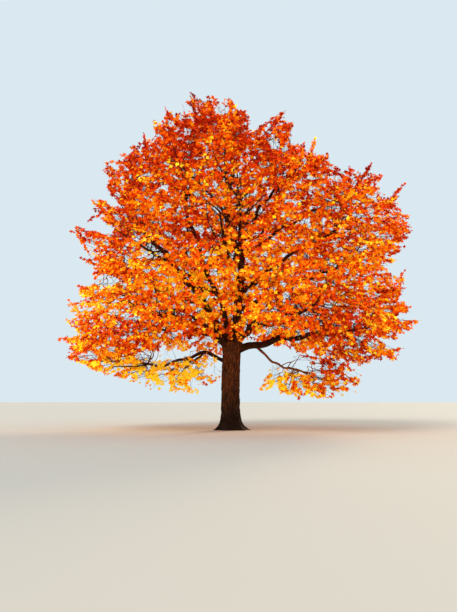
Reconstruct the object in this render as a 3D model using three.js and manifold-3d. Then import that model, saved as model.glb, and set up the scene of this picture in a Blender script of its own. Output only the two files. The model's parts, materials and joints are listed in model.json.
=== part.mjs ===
// Red maple tree in autumn leaf: trunk, boughs and masses of foliage, each one closed solid.
// Lengths are in millimetres and angles in degrees. The ground is z = 0 and +Z is up.
// Azimuth 0 points along +X, to the right of the front view, and 90 along +Y, to the back.
import * as THREE from "three";
import { mergeVertices } from "three/addons/utils/BufferGeometryUtils.js";
import Module from "manifold-3d";

// Gap left between one piece and the next, and how far a cutting tool is grown to leave it
const CLEAR = 0.3;
const GROWN = 0.45;

// Trunk: radius at the foot of its taper and at its fork, the root flare and its buttresses
const TRUNK_HEIGHT = 2760;
const TRUNK_FOOT_RADIUS = 288;
const TRUNK_FORK_RADIUS = 268;
const TRUNK_LEAN = 40;
const COLLAR_SWELL = 0.2;
const COLLAR_HEIGHT = 260;
const FLARE_REACH = 215;
const FLARE_HEIGHT = 150;
const BUTTRESSES = 6;
const BUTTRESS_DEPTH = 0.34;
const BUTTRESS_TURN = 12;
const LONG_ROOT_REACH = 0.3;
const CROWN_OF_TRUNK = 60;
const TRUNK_SIDES = 20;
const TRUNK_STEPS = 11;
const RING_CROWDING = 1.7;
const LEAN_BOW = 0.6;

// Boughs: facets, the swollen collar at a foot, and the seeded crooks along the limb
const BOUGH_SIDES = 5;
const MAIN_STEPS = 6;
const SIDE_STEPS = 4;
const BOUGH_TAPER = 0.8;
const FOOT_SWELL = 0.22;
const FOOT_SWELL_LENGTH = 0.07;
const KINK_SIZE = 0.018;
const KINKS_SIDEWAYS = 5;
const KINKS_UPWARD = 6;

// Foliage: a bough enters its mass from inside, at this share of the way out from the centre,
// and a mass keeps this far from its neighbours' space and from every limb
const ENTRY_DEPTH = 0.62;
const CELL_MARGIN = 12;
const LIMB_MARGIN = 25;
const STRETCHES_PER_BOUGH = 10;
const STRETCHES_PER_TRUNK = 4;

// Stem of a mass: it leads on from the bough and ends past the centre
const STEM_SIDES = 4;
const STEM_STEPS = 3;
const STEM_LEAD = 0.4;
const STEM_PAST_CENTRE = 0.22;
const STEM_FOOT_SHARE = 0.9;
const STEM_TIP_RADIUS = 28;

// Twigs of a mass: spread round its stem, each to its own place, at a share of the half sizes
const TWIGS_PER_MASS = 4;
const TWIG_SPAN = 0.8;
const TWIG_SIDES = 3;
const TWIG_FOOT_RADIUS = 19;
const TWIG_TIP_RADIUS = 15;
const TWIG_REACH = 0.42;
const TWIG_REACH_VARIES = 0.08;
const TWIG_TRIES = 8;
const TWIG_SHRINK = 0.08;
const TWIG_FORK_LEAD = 0.75;
const TWIG_FORK_FIRST = 0.12;
const TWIG_FORK_LAST = 0.97;
const TWIG_FREE_FROM = 0.25;

// Leaves: each is larger than life, because it stands for a whole spray. A place on a twig is
// the share of the way along it and the turn of the leaf from the twig.
const LEAF_LENGTH = 1450;
const LEAF_WIDTH = 940;
const LEAF_THICKNESS = 50;
const LEAF_WIDEST = 0.42;
const LEAF_THICKEST = 0.16;
const LEAF_ROOT_SUNK = 24;
const LEAF_PLACES = [[1, 0], [0.72, 52], [0.9, -52]];
const LEAF_SIZE_VARIES = 0.05;
const LEAF_TURN_VARIES = 16;
const LEAF_DROOP = 0.16;
const LEAF_DROOP_VARIES = 0.22;
const LEAF_FACES_OUT = 0.5;
const LEAF_FACES_UP = 0.6;
const LEAF_FACE_VARIES = 0.45;
const LEAF_LIMB_WIDTH = 0.36;
const LEAF_TRIES = 18;
const LEAF_SHRINK = 0.035;
const FOLIAGE_SEED = 20;

// One row a limb and the mass that it carries. azimuth, out and height place the centre of the
// mass, size holds its half sizes outward, sideways and upward. fork is how far along its parent
// the limb leaves. arch lifts the middle of the limb, sway bends it to its left, crook makes it
// an S sideways and heave an S upright. thick holds its radius at the foot and at the tip.
const LIMBS = [
  { name: "leader", parent: "trunk", fork: 0.93, azimuth: 235, out: 250, height: 10330,
    size: [1500, 1500, 1150], arch: 0, sway: 190, crook: 250, thick: [165, 40], tint: "red" },
  { name: "upper_left", parent: "trunk", fork: 0.95, azimuth: 176, out: 3700, height: 7450,
    size: [1850, 1900, 1500], arch: 260, sway: 120, crook: -90, thick: [150, 50], tint: "red" },
  { name: "upper_front_left", parent: "trunk", fork: 0.97, azimuth: 243, out: 3500, height: 7800,
    size: [1750, 1900, 1500], arch: 620, sway: -330, crook: 90, thick: [88, 38], tint: "red" },
  { name: "low_right", parent: "trunk", fork: 0.9, azimuth: -6, out: 4380, height: 3200,
    size: [1950, 1800, 1180], arch: 110, sway: 0, crook: 60, thick: [122, 66], tint: "orange" },
  { name: "hanging_right", parent: "low_right", fork: 0.24, azimuth: -14, out: 2600, height: 1540,
    size: [1600, 1250, 640], arch: -190, sway: -60, crook: 40, thick: [44, 26], tint: "gold" },
  { name: "low_back_right", parent: "trunk", fork: 0.96, azimuth: 44, out: 4100, height: 3900,
    size: [1750, 1900, 1150], arch: 330, sway: 90, crook: 60, thick: [92, 40], tint: "orange" },
  { name: "low_back", parent: "trunk", fork: 0.94, azimuth: 92, out: 4000, height: 4000,
    size: [1750, 1900, 1150], arch: 300, sway: -90, crook: 70, thick: [90, 40], tint: "orange" },
  { name: "low_back_left", parent: "trunk", fork: 0.92, azimuth: 139, out: 4050, height: 3700,
    size: [1750, 1850, 1150], arch: 330, sway: 110, crook: -60, thick: [88, 40], tint: "orange" },
  { name: "low_left", parent: "trunk", fork: 0.73, azimuth: 183, out: 4000, height: 2120,
    size: [1950, 1850, 1150], arch: 230, sway: -60, crook: 60, heave: 190, thick: [62, 34],
    tint: "gold" },
  { name: "hanging_left", parent: "low_left", fork: 0.3, azimuth: 196, out: 1950, height: 1800,
    size: [1450, 1250, 560], arch: -60, sway: 40, crook: 30, thick: [36, 24], tint: "gold" },
  { name: "low_front_left", parent: "trunk", fork: 0.93, azimuth: 228, out: 4000, height: 3560,
    size: [1750, 1850, 1100], arch: 330, sway: 110, crook: -60, thick: [86, 38], tint: "orange" },
  { name: "low_front_right", parent: "trunk", fork: 0.95, azimuth: 305, out: 4050, height: 3600,
    size: [1750, 1900, 1100], arch: 330, sway: -120, crook: 60, thick: [86, 38], tint: "orange" },
  { name: "middle_right", parent: "leader", fork: 0.17, azimuth: 12, out: 4420, height: 5750,
    size: [1850, 1850, 1400], arch: 60, sway: 60, crook: 90, thick: [82, 40], tint: "orange" },
  { name: "middle_back_right", parent: "leader", fork: 0.22, azimuth: 63, out: 4150, height: 6000,
    size: [1800, 1900, 1400], arch: 60, sway: 60, crook: 60, thick: [78, 38], tint: "orange" },
  { name: "middle_back", parent: "upper_left", fork: 0.22, azimuth: 113, out: 4100, height: 6000,
    size: [1800, 1900, 1400], arch: 60, sway: -90, crook: 60, thick: [80, 38], tint: "orange" },
  { name: "middle_left", parent: "upper_left", fork: 0.3, azimuth: 172, out: 3950, height: 5350,
    size: [1850, 1850, 1350], arch: -190, sway: 0, crook: 60, thick: [66, 34], tint: "orange" },
  { name: "middle_front_left", parent: "upper_front_left", fork: 0.26, azimuth: 218, out: 4050,
    height: 5700, size: [1800, 1850, 1350], arch: -60, sway: 60, crook: -60, thick: [62, 34],
    tint: "orange" },
  { name: "middle_front", parent: "leader", fork: 0.14, azimuth: 266, out: 4000, height: 5700,
    size: [1750, 1900, 1350], arch: 60, sway: 160, crook: 60, thick: [72, 34], tint: "orange" },
  { name: "middle_front_right", parent: "leader", fork: 0.24, azimuth: 318, out: 4150,
    height: 5800, size: [1800, 1850, 1350], arch: 60, sway: -60, crook: 60, thick: [74, 36],
    tint: "orange" },
  { name: "upper_right", parent: "leader", fork: 0.43, azimuth: 4, out: 4150, height: 8050,
    size: [1800, 1850, 1450], arch: 120, sway: 60, crook: 60, thick: [70, 34], tint: "red" },
  { name: "upper_back_right", parent: "leader", fork: 0.4, azimuth: 60, out: 3500, height: 8100,
    size: [1750, 1900, 1450], arch: 120, sway: 60, crook: 60, thick: [68, 34], tint: "red" },
  { name: "upper_back_left", parent: "upper_left", fork: 0.5, azimuth: 119, out: 3450,
    height: 8100, size: [1750, 1900, 1450], arch: 120, sway: -60, crook: 60, thick: [68, 34],
    tint: "red" },
  { name: "upper_front_right", parent: "leader", fork: 0.46, azimuth: 304, out: 3550,
    height: 7900, size: [1750, 1900, 1450], arch: 120, sway: -60, crook: 60, thick: [68, 34],
    tint: "red" },
  { name: "top_right", parent: "leader", fork: 0.6, azimuth: 12, out: 2000, height: 9600,
    size: [1500, 1450, 1200], arch: 60, sway: 60, crook: 40, thick: [56, 28], tint: "red" },
  { name: "top_left", parent: "leader", fork: 0.62, azimuth: 170, out: 2250, height: 9450,
    size: [1550, 1450, 1200], arch: 90, sway: -60, crook: 40, thick: [54, 28], tint: "red" },
  { name: "top_front", parent: "leader", fork: 0.66, azimuth: 276, out: 2050, height: 9600,
    size: [1450, 1450, 1100], arch: 60, sway: 60, crook: 40, thick: [42, 26], tint: "red" },
  { name: "top_back", parent: "leader", fork: 0.64, azimuth: 88, out: 2050, height: 9700,
    size: [1450, 1500, 1100], arch: 60, sway: 60, crook: 40, thick: [42, 26], tint: "red" },
  { name: "inner_front", parent: "leader", fork: 0.35, azimuth: 286, out: 2000, height: 7250,
    size: [1400, 1450, 1150], arch: 60, sway: -60, crook: 40, thick: [46, 26], tint: "orange" },
  { name: "inner_back", parent: "leader", fork: 0.33, azimuth: 92, out: 2050, height: 7350,
    size: [1400, 1450, 1150], arch: 60, sway: 60, crook: 40, thick: [46, 26], tint: "orange" },
];

// Colours: rough dark bark, and leaves from red at the top of the crown to gold low down
const BARK = { color: 0x3b2c24, roughness: 0.95, metalness: 0 };
const TINTS = {
  red: { color: 0xd8441c, roughness: 0.75, metalness: 0 },
  orange: { color: 0xec6a1c, roughness: 0.75, metalness: 0 },
  gold: { color: 0xf59a2a, roughness: 0.75, metalness: 0 },
};

const UP = new THREE.Vector3(0, 0, 1);
const GOLDEN_TURN = Math.PI * (3 - Math.sqrt(5));
const radians = THREE.MathUtils.degToRad;
const between = THREE.MathUtils.clamp;

const wasm = await Module();
wasm.setup();

// A repeatable stream of numbers from 0 to 1 for one seed
function seededNumbers(seed) {
  let state = Math.imul(seed, 2654435761) >>> 0;
  return () => {
    state = (state + 0x6d2b79f5) >>> 0;
    let mixed = Math.imul(state ^ (state >>> 15), state | 1);
    mixed ^= mixed + Math.imul(mixed ^ (mixed >>> 7), mixed | 61);
    return ((mixed ^ (mixed >>> 14)) >>> 0) / 4294967296;
  };
}

// A number from -1 to 1
function spread(next) {
  return 2 * next() - 1;
}

function outwardAt(azimuth) {
  return new THREE.Vector3(Math.cos(radians(azimuth)), Math.sin(radians(azimuth)), 0);
}

// A closed three.js geometry as a solid that can be cut and joined
function solidOf(geometry) {
  const bare = geometry.clone();
  bare.deleteAttribute("normal");
  bare.deleteAttribute("uv");
  const merged = mergeVertices(bare, 1e-3);
  return new wasm.Manifold(
    new wasm.Mesh({
      numProp: 3,
      vertProperties: new Float32Array(merged.attributes.position.array),
      triVerts: new Uint32Array(merged.index.array),
    }),
  );
}

// The largest body of a solid, without the scraps that a cut can leave
function largestBody(solid) {
  const bodies = solid.decompose();
  return bodies.reduce((best, body) => (body.volume() > best.volume() ? body : best));
}

// Centre line of the trunk, with its slight lean to the right
class TrunkLine extends THREE.Curve {
  getPoint(t, target = new THREE.Vector3()) {
    const lean = TRUNK_LEAN * (t * t - LEAN_BOW * Math.sin(Math.PI * t));
    return target.set(lean, 0, t * TRUNK_HEIGHT);
  }
}

// Centre line of a bough: straight from foot to tip, with an arch, a sway, a crook and kinks
class BoughLine extends THREE.Curve {
  constructor(foot, tip, row, next) {
    super();
    this.foot = foot;
    this.run = tip.clone().sub(foot);
    this.side = outwardAt(row.azimuth + 90);
    this.row = row;
    this.kink = this.run.length() * KINK_SIZE;
    this.phase = [next(), next()].map((share) => share * 2 * Math.PI);
  }

  getPoint(t, target = new THREE.Vector3()) {
    const bow = Math.sin(Math.PI * t);
    const sideways = this.row.sway * bow + this.row.crook * Math.sin(2 * Math.PI * t)
      + this.kink * bow * Math.sin(KINKS_SIDEWAYS * Math.PI * t + this.phase[0]);
    const upwards = this.row.arch * bow + (this.row.heave ?? 0) * Math.sin(2 * Math.PI * t)
      + this.kink * bow * Math.sin(KINKS_UPWARD * Math.PI * t + this.phase[1]);
    return target.copy(this.foot)
      .addScaledVector(this.run, t)
      .addScaledVector(this.side, sideways)
      .addScaledVector(UP, upwards);
  }
}

// A closed cylinder of rings set square to a curve, with radius(t) round each ring. A cutting
// tool is grown all over, and so at both ends too.
function ringedSolid(curve, side, radius, sides, steps, grown = 0) {
  const geometry = new THREE.CylinderGeometry(1, 1, 1, sides, steps);
  const place = geometry.attributes.position;
  for (let i = 0; i < place.count; i += 1) {
    const t = between(place.getY(i) + 0.5, 0, 1);
    const onAxis = Math.hypot(place.getX(i), place.getZ(i)) < 0.5;
    const angle = Math.atan2(place.getX(i), place.getZ(i));
    const along = curve.getTangent(t);
    const across = side.clone().addScaledVector(along, -side.dot(along)).normalize();
    const over = new THREE.Vector3().crossVectors(across, along);
    const reach = onAxis ? 0 : radius(t) + grown;
    const past = t === 0 || t === 1 ? grown * Math.sign(t - 0.5) : 0;
    const point = curve.getPoint(t)
      .addScaledVector(along, past)
      .addScaledVector(over, reach * Math.cos(angle))
      .addScaledVector(across, reach * Math.sin(angle));
    place.setXYZ(i, point.x, point.y, point.z);
  }
  return solidOf(geometry);
}

// Trunk radius at a height and an angle: taper, root flare with buttresses, and fork collar
function trunkRadius(height, angle) {
  const t = height / TRUNK_HEIGHT;
  const taper = TRUNK_FOOT_RADIUS + (TRUNK_FORK_RADIUS - TRUNK_FOOT_RADIUS) * t;
  const ridge = Math.cos(BUTTRESSES * (angle - radians(BUTTRESS_TURN)));
  const longRoot = LONG_ROOT_REACH * Math.max(0, Math.cos(angle)) ** 3;
  const flare = FLARE_REACH * (1 + BUTTRESS_DEPTH * ridge + longRoot);
  const collar = COLLAR_SWELL * TRUNK_FORK_RADIUS;
  return taper + flare * Math.exp(-height / FLARE_HEIGHT)
    + collar * Math.exp(-((TRUNK_HEIGHT - height) ** 2) / COLLAR_HEIGHT ** 2);
}

// The trunk: level rings, closer together in the flare, under a low rounded crown at the fork
function trunkSolid(grown) {
  const geometry = new THREE.CylinderGeometry(1, 1, 1, TRUNK_SIDES, TRUNK_STEPS);
  const line = new TrunkLine();
  const place = geometry.attributes.position;
  for (let i = 0; i < place.count; i += 1) {
    const share = between(place.getY(i) + 0.5, 0, 1);
    const height = TRUNK_HEIGHT * share ** RING_CROWDING;
    const onAxis = Math.hypot(place.getX(i), place.getZ(i)) < 0.5;
    const angle = Math.atan2(place.getX(i), place.getZ(i));
    const reach = onAxis ? 0 : trunkRadius(height, angle) + grown;
    const centre = line.getPoint(height / TRUNK_HEIGHT);
    const cap = onAxis && share > 0.5 ? CROWN_OF_TRUNK + grown : 0;
    place.setXYZ(i, centre.x + reach * Math.cos(angle), centre.y + reach * Math.sin(angle),
      centre.z + cap);
  }
  return solidOf(geometry);
}

// Bough radius along the limb: swollen at the foot, then an even taper
function boughRadius(row, t) {
  const [foot, tip] = row.thick;
  const swell = 1 + FOOT_SWELL * Math.exp(-t / FOOT_SWELL_LENGTH);
  return (foot + (tip - foot) * t ** BOUGH_TAPER) * swell;
}

// Centre, half sizes and own directions of the mass of foliage on a limb
function massOf(row) {
  const out = outwardAt(row.azimuth);
  const axes = [out, outwardAt(row.azimuth + 90), UP];
  const centre = out.clone().multiplyScalar(row.out).setZ(row.height);
  const weight = (row.size[0] + row.size[1] + row.size[2]) / 3;
  return { centre, axes, size: row.size, weight };
}

// The limb's tip, where it enters its mass on the way to the centre
function entryOf(foot, mass) {
  const inward = foot.clone().sub(mass.centre);
  const scaled = Math.hypot(...mass.axes.map((axis, i) => inward.dot(axis) / mass.size[i]));
  return mass.centre.clone().addScaledVector(inward, ENTRY_DEPTH / scaled);
}

// Every limb with its line, mass and the capsules that stand for it when leaves are placed
const limbs = new Map();
const trunkLine = new TrunkLine();
LIMBS.forEach((row, index) => {
  const next = seededNumbers(FOLIAGE_SEED + index);
  const parentLine = row.parent === "trunk" ? trunkLine : limbs.get(row.parent).line;
  const foot = parentLine.getPoint(row.fork);
  const mass = massOf(row);
  const line = new BoughLine(foot, entryOf(foot, mass), row, next);
  limbs.set(row.name, { row, line, mass, next });
});

// Straight stretches of every limb and the trunk, with a radius each
const stretches = [];
function addStretches(line, radiusAt, steps) {
  for (let i = 0; i < steps; i += 1) {
    stretches.push({
      from: line.getPoint(i / steps),
      to: line.getPoint((i + 1) / steps),
      radius: radiusAt(i / steps),
    });
  }
}
addStretches(trunkLine, () => TRUNK_FOOT_RADIUS, STRETCHES_PER_TRUNK);
limbs.forEach(({ row, line }) => {
  addStretches(line, (t) => boughRadius(row, t), STRETCHES_PER_BOUGH);
});

// Shortest distance between two straight stretches
function distanceBetween(a, b, c, d) {
  const u = b.clone().sub(a);
  const v = d.clone().sub(c);
  const w = a.clone().sub(c);
  const uu = u.dot(u);
  const uv = u.dot(v);
  const vv = v.dot(v);
  const across = uu * vv - uv * uv;
  const first = across > 0 ? between((uv * v.dot(w) - vv * u.dot(w)) / across, 0, 1) : 0;
  const t = between((uv * first + v.dot(w)) / vv, 0, 1);
  const s = between((uv * t - u.dot(w)) / uu, 0, 1);
  return w.addScaledVector(u, s).addScaledVector(v, -t).length();
}

function clearOfLimbs(from, to, radius) {
  return stretches.every((stretch) => {
    const room = radius + stretch.radius + LIMB_MARGIN;
    return distanceBetween(from, to, stretch.from, stretch.to) > room;
  });
}

// Whether a point keeps to the space of its own mass, clear of every neighbour's
function inOwnSpace(mass, point, margin) {
  for (const { mass: other } of limbs.values()) {
    if (other !== mass) {
      const apart = other.centre.distanceTo(mass.centre);
      const own = point.distanceToSquared(mass.centre) - mass.weight ** 2;
      const theirs = point.distanceToSquared(other.centre) - other.weight ** 2;
      if ((theirs - own) / (2 * apart) < margin) {
        return false;
      }
    }
  }
  return true;
}

function inEllipsoid(mass, point) {
  const offset = point.clone().sub(mass.centre);
  return Math.hypot(...mass.axes.map((axis, i) => offset.dot(axis) / mass.size[i])) <= 1;
}

// A twig: a three-sided prism that tapers from one point to another
function twigSolid(from, to, footRadius, tipRadius) {
  const length = from.distanceTo(to);
  const geometry = new THREE.CylinderGeometry(tipRadius, footRadius, length, TWIG_SIDES, 1);
  const along = to.clone().sub(from).normalize();
  const turn = new THREE.Quaternion().setFromUnitVectors(new THREE.Vector3(0, 1, 0), along);
  geometry.applyQuaternion(turn);
  const middle = from.clone().lerp(to, 0.5);
  geometry.translate(middle.x, middle.y, middle.z);
  return solidOf(geometry);
}

// The six corners of a leaf: root, tip, two edges at its widest, and its two sides near the root
function leafCorners(root, along, normal, length) {
  const width = (LEAF_WIDTH * length) / LEAF_LENGTH;
  const across = new THREE.Vector3().crossVectors(normal, along);
  const middle = root.clone().addScaledVector(along, LEAF_WIDEST * length);
  const rib = root.clone().addScaledVector(along, LEAF_THICKEST * length);
  return {
    root,
    tip: root.clone().addScaledVector(along, length),
    left: middle.clone().addScaledVector(across, width / 2),
    right: middle.clone().addScaledVector(across, -width / 2),
    over: rib.clone().addScaledVector(normal, LEAF_THICKNESS / 2),
    under: rib.clone().addScaledVector(normal, -LEAF_THICKNESS / 2),
  };
}

// A leaf of eight faces: an octahedron with its six corners moved to the leaf's own
function leafSolid(corners) {
  const geometry = new THREE.OctahedronGeometry(1);
  const place = geometry.attributes.position;
  for (let i = 0; i < place.count; i += 1) {
    const [x, y, z] = [place.getX(i), place.getY(i), place.getZ(i)].map(Math.round);
    const alongCorner = x > 0 ? corners.tip : corners.root;
    const acrossCorner = y > 0 ? corners.left : corners.right;
    const overCorner = z > 0 ? corners.over : corners.under;
    const corner = x ? alongCorner : y ? acrossCorner : overCorner;
    place.setXYZ(i, corner.x, corner.y, corner.z);
  }
  return solidOf(geometry);
}

// A leaf that fits its mass's space and crosses nothing placed before it, or nothing. It is
// turned a little further, and made a little smaller, at each try.
function placeLeaf(mass, twig, [share, fan], placed, next) {
  const hold = twig.fork.clone().lerp(twig.tip, share);
  const along = twig.tip.clone().sub(twig.fork).normalize();
  const outward = twig.tip.clone().sub(mass.centre).normalize()
    .addScaledVector(mass.axes[0], LEAF_FACES_OUT).normalize();
  for (let attempt = 0; attempt < LEAF_TRIES; attempt += 1) {
    const size = LEAF_LENGTH * (1 - LEAF_SHRINK * attempt) * (1 + LEAF_SIZE_VARIES * spread(next));
    const facing = new THREE.Vector3(spread(next), spread(next), spread(next))
      .multiplyScalar(LEAF_FACE_VARIES)
      .add(outward)
      .addScaledVector(UP, LEAF_FACES_UP);
    const turn = radians(fan + LEAF_TURN_VARIES * spread(next));
    const pointing = along.clone().applyAxisAngle(UP, turn)
      .addScaledVector(UP, LEAF_DROOP_VARIES * spread(next) - LEAF_DROOP)
      .normalize();
    const normal = facing.addScaledVector(pointing, -facing.dot(pointing)).normalize();
    const root = hold.clone().addScaledVector(pointing, fan ? 0 : -LEAF_ROOT_SUNK);
    const corners = leafCorners(root, pointing, normal, size);
    const fits = Object.values(corners).every((p) => inOwnSpace(mass, p, CELL_MARGIN))
      && [corners.tip, corners.left, corners.right].every((p) => inEllipsoid(mass, p));
    const room = (LEAF_LIMB_WIDTH * LEAF_WIDTH * size) / LEAF_LENGTH;
    if (fits && clearOfLimbs(hold, corners.tip, room)) {
      const leaf = leafSolid(corners);
      if (placed.every((other) => other.intersect(leaf).isEmpty())) {
        return leaf;
      }
    }
  }
  return null;
}

// The stem of a mass: it leaves the bough's tip square to it and bends to the far side
function growStem({ row, line, mass }) {
  const heading = line.getTangent(1);
  const start = line.getPoint(1).addScaledVector(heading, CLEAR);
  const run = mass.centre.clone().sub(start).multiplyScalar(1 + STEM_PAST_CENTRE);
  const end = start.clone().add(run);
  const lead = start.clone().addScaledVector(heading, STEM_LEAD * run.length());
  const curve = new THREE.QuadraticBezierCurve3(start, lead, end);
  const footRadius = STEM_FOOT_SHARE * boughRadius(row, 1);
  const radius = (t) => footRadius + (STEM_TIP_RADIUS - footRadius) * t;
  const solid = ringedSolid(curve, line.side, radius, STEM_SIDES, STEM_STEPS);
  return { solid, curve, start, run, fork: curve.getPoint(0.5), tip: end };
}

// One twig that forks from the stem towards its own place in the mass, or nothing
function growTwig(mass, stem, aim, next) {
  for (let attempt = 0; attempt < TWIG_TRIES; attempt += 1) {
    const varied = 1 + TWIG_REACH_VARIES * spread(next);
    const reach = TWIG_REACH * (1 - TWIG_SHRINK * attempt) * varied;
    const tip = mass.centre.clone();
    mass.axes.forEach((axis, i) => tip.addScaledVector(axis, aim[i] * mass.size[i] * reach));
    const onStem = tip.clone().sub(stem.start).dot(stem.run) / stem.run.lengthSq();
    const offStem = tip.distanceTo(stem.curve.getPoint(between(onStem, 0, 1)));
    const lead = (TWIG_FORK_LEAD * offStem) / stem.run.length();
    const fork = stem.curve.getPoint(between(onStem - lead, TWIG_FORK_FIRST, TWIG_FORK_LAST));
    const away = fork.clone().lerp(tip, TWIG_FREE_FROM);
    if (inOwnSpace(mass, tip, CELL_MARGIN + TWIG_FOOT_RADIUS)
      && clearOfLimbs(away, tip, TWIG_FOOT_RADIUS)) {
      return { fork, tip, solid: twigSolid(fork, tip, TWIG_FOOT_RADIUS, TWIG_TIP_RADIUS) };
    }
  }
  return null;
}

// One mass of foliage: a stem from the bough's tip, twigs that fork from it, leaves on the twigs
function massSolid(limb) {
  const { mass, next } = limb;
  const stem = growStem(limb);
  const firstTurn = next() * 2 * Math.PI;
  const twigs = [];
  for (let k = 0; k < TWIGS_PER_MASS; k += 1) {
    const level = TWIG_SPAN * (1 - (2 * k + 1) / TWIGS_PER_MASS);
    const ring = Math.sqrt(1 - level * level);
    const turn = firstTurn + k * GOLDEN_TURN;
    const twig = growTwig(mass, stem, [level, ring * Math.cos(turn), ring * Math.sin(turn)], next);
    if (twig) {
      twigs.push(twig);
    }
  }
  const wood = [stem, ...twigs];
  const leaves = [];
  wood.forEach((twig) => {
    const others = wood.filter((other) => other !== twig).map((other) => other.solid);
    LEAF_PLACES.forEach((place) => {
      const leaf = placeLeaf(mass, twig, place, [...others, ...leaves], next);
      if (leaf) {
        leaves.push(leaf);
      }
    });
  });
  return largestBody(wasm.Manifold.union([...wood.map((twig) => twig.solid), ...leaves]));
}

// A named mesh with its own material
function meshOf(name, solid, look) {
  const { vertProperties, triVerts } = solid.getMesh();
  const geometry = new THREE.BufferGeometry();
  geometry.setAttribute("position", new THREE.BufferAttribute(vertProperties, 3));
  geometry.setIndex(new THREE.BufferAttribute(triVerts, 1));
  geometry.computeVertexNormals();
  const mesh = new THREE.Mesh(geometry, new THREE.MeshStandardMaterial(look));
  mesh.name = name;
  return mesh;
}

const tree = new THREE.Group();
tree.add(meshOf("trunk", trunkSolid(0), BARK));

// Boughs, each cut back 0.3 mm from the trunk and from the boughs made before it
const cutters = [trunkSolid(GROWN)];
limbs.forEach(({ row, line }) => {
  const side = line.side;
  const steps = row.parent === "trunk" ? MAIN_STEPS : SIDE_STEPS;
  const radius = (t) => boughRadius(row, t);
  const shape = (grown) => ringedSolid(line, side, radius, BOUGH_SIDES, steps, grown);
  const cut = cutters.reduce((solid, cutter) => solid.subtract(cutter), shape(0));
  tree.add(meshOf(`bough_${row.name}`, largestBody(cut), BARK));
  cutters.push(shape(GROWN));
});

limbs.forEach((limb) => {
  tree.add(meshOf(`foliage_${limb.row.name}`, massSolid(limb), TINTS[limb.row.tint]));
});

export default tree;
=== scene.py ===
"""Red maple in autumn leaf, dressed over its solids: bark, twigs and sprays of leaves.

Lengths are in metres, and azimuths in degrees. Azimuth 0 points along +X, to the right of the
front view, and 90 along +Y, to the back. A pair of numbers with one name is a range.
"""
import json
import math
from collections import namedtuple
from functools import cache

import bpy
import numpy as np
from bpy.props import FloatProperty, FloatVectorProperty, IntProperty, PointerProperty
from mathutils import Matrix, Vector, noise

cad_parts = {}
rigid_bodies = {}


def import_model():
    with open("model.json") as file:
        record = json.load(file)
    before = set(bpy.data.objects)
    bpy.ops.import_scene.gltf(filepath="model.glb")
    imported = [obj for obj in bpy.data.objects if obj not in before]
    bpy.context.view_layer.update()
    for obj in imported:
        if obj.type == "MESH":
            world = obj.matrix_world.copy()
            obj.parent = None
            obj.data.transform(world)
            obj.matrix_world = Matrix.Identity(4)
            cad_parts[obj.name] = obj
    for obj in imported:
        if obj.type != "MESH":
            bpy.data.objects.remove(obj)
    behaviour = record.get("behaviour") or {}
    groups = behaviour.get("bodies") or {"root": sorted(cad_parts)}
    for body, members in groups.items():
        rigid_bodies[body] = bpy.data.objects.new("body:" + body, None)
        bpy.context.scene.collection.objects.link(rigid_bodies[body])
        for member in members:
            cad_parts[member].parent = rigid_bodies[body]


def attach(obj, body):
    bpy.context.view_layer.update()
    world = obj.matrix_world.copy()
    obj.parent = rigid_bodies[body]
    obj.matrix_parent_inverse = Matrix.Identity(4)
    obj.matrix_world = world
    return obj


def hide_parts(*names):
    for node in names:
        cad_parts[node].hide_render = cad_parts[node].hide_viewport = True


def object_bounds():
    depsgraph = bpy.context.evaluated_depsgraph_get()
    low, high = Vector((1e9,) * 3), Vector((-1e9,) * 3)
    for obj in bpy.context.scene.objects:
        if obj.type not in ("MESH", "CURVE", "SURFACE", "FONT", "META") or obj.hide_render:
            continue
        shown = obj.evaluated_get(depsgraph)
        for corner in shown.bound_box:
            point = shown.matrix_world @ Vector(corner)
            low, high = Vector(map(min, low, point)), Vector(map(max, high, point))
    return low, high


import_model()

bl_info = {
    "name": "Red maple in autumn leaf",
    "version": (1, 0, 0),
    "blender": (4, 5, 0),
    "location": "3D View > Sidebar > Maple",
    "description": "Barked limbs, fine twigs and sprays of leaves over the maple's solids",
    "category": "Object",
}

CAD_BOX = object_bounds()
MM = 0.001
WORD = 0xFFFFFFFF
FULL_TURN = 2 * math.pi
UP = np.array([0.0, 0.0, 1.0])
RIGHT = np.array([1.0, 0.0, 0.0])

# Added to a length or a direction that may be 0
SMALL = 1e-6
TINY = 1e-9

# Trunk: the source's taper, lean, root flare, buttresses and fork collar
TRUNK_HEIGHT = 2760 * MM
TRUNK_FOOT_RADIUS = 288 * MM
TRUNK_FORK_RADIUS = 268 * MM
TRUNK_LEAN = 40 * MM
LEAN_BOW = 0.6
COLLAR_SWELL = 0.2
COLLAR_HEIGHT = 260 * MM
FLARE_REACH = 215 * MM
FLARE_HEIGHT = 150 * MM
BUTTRESSES = 6
BUTTRESS_DEPTH = 0.34
BUTTRESS_TURN = math.radians(12)
LONG_ROOT_REACH = 0.3
CROWN_OF_TRUNK = 60 * MM

# Boughs: the source's taper, foot collar and kinks
BOUGH_TAPER = 0.8
FOOT_SWELL = 0.22
FOOT_SWELL_LENGTH = 0.07
KINK_SIZE = 0.018
KINKS_SIDEWAYS = 5
KINKS_UPWARD = 6

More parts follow.
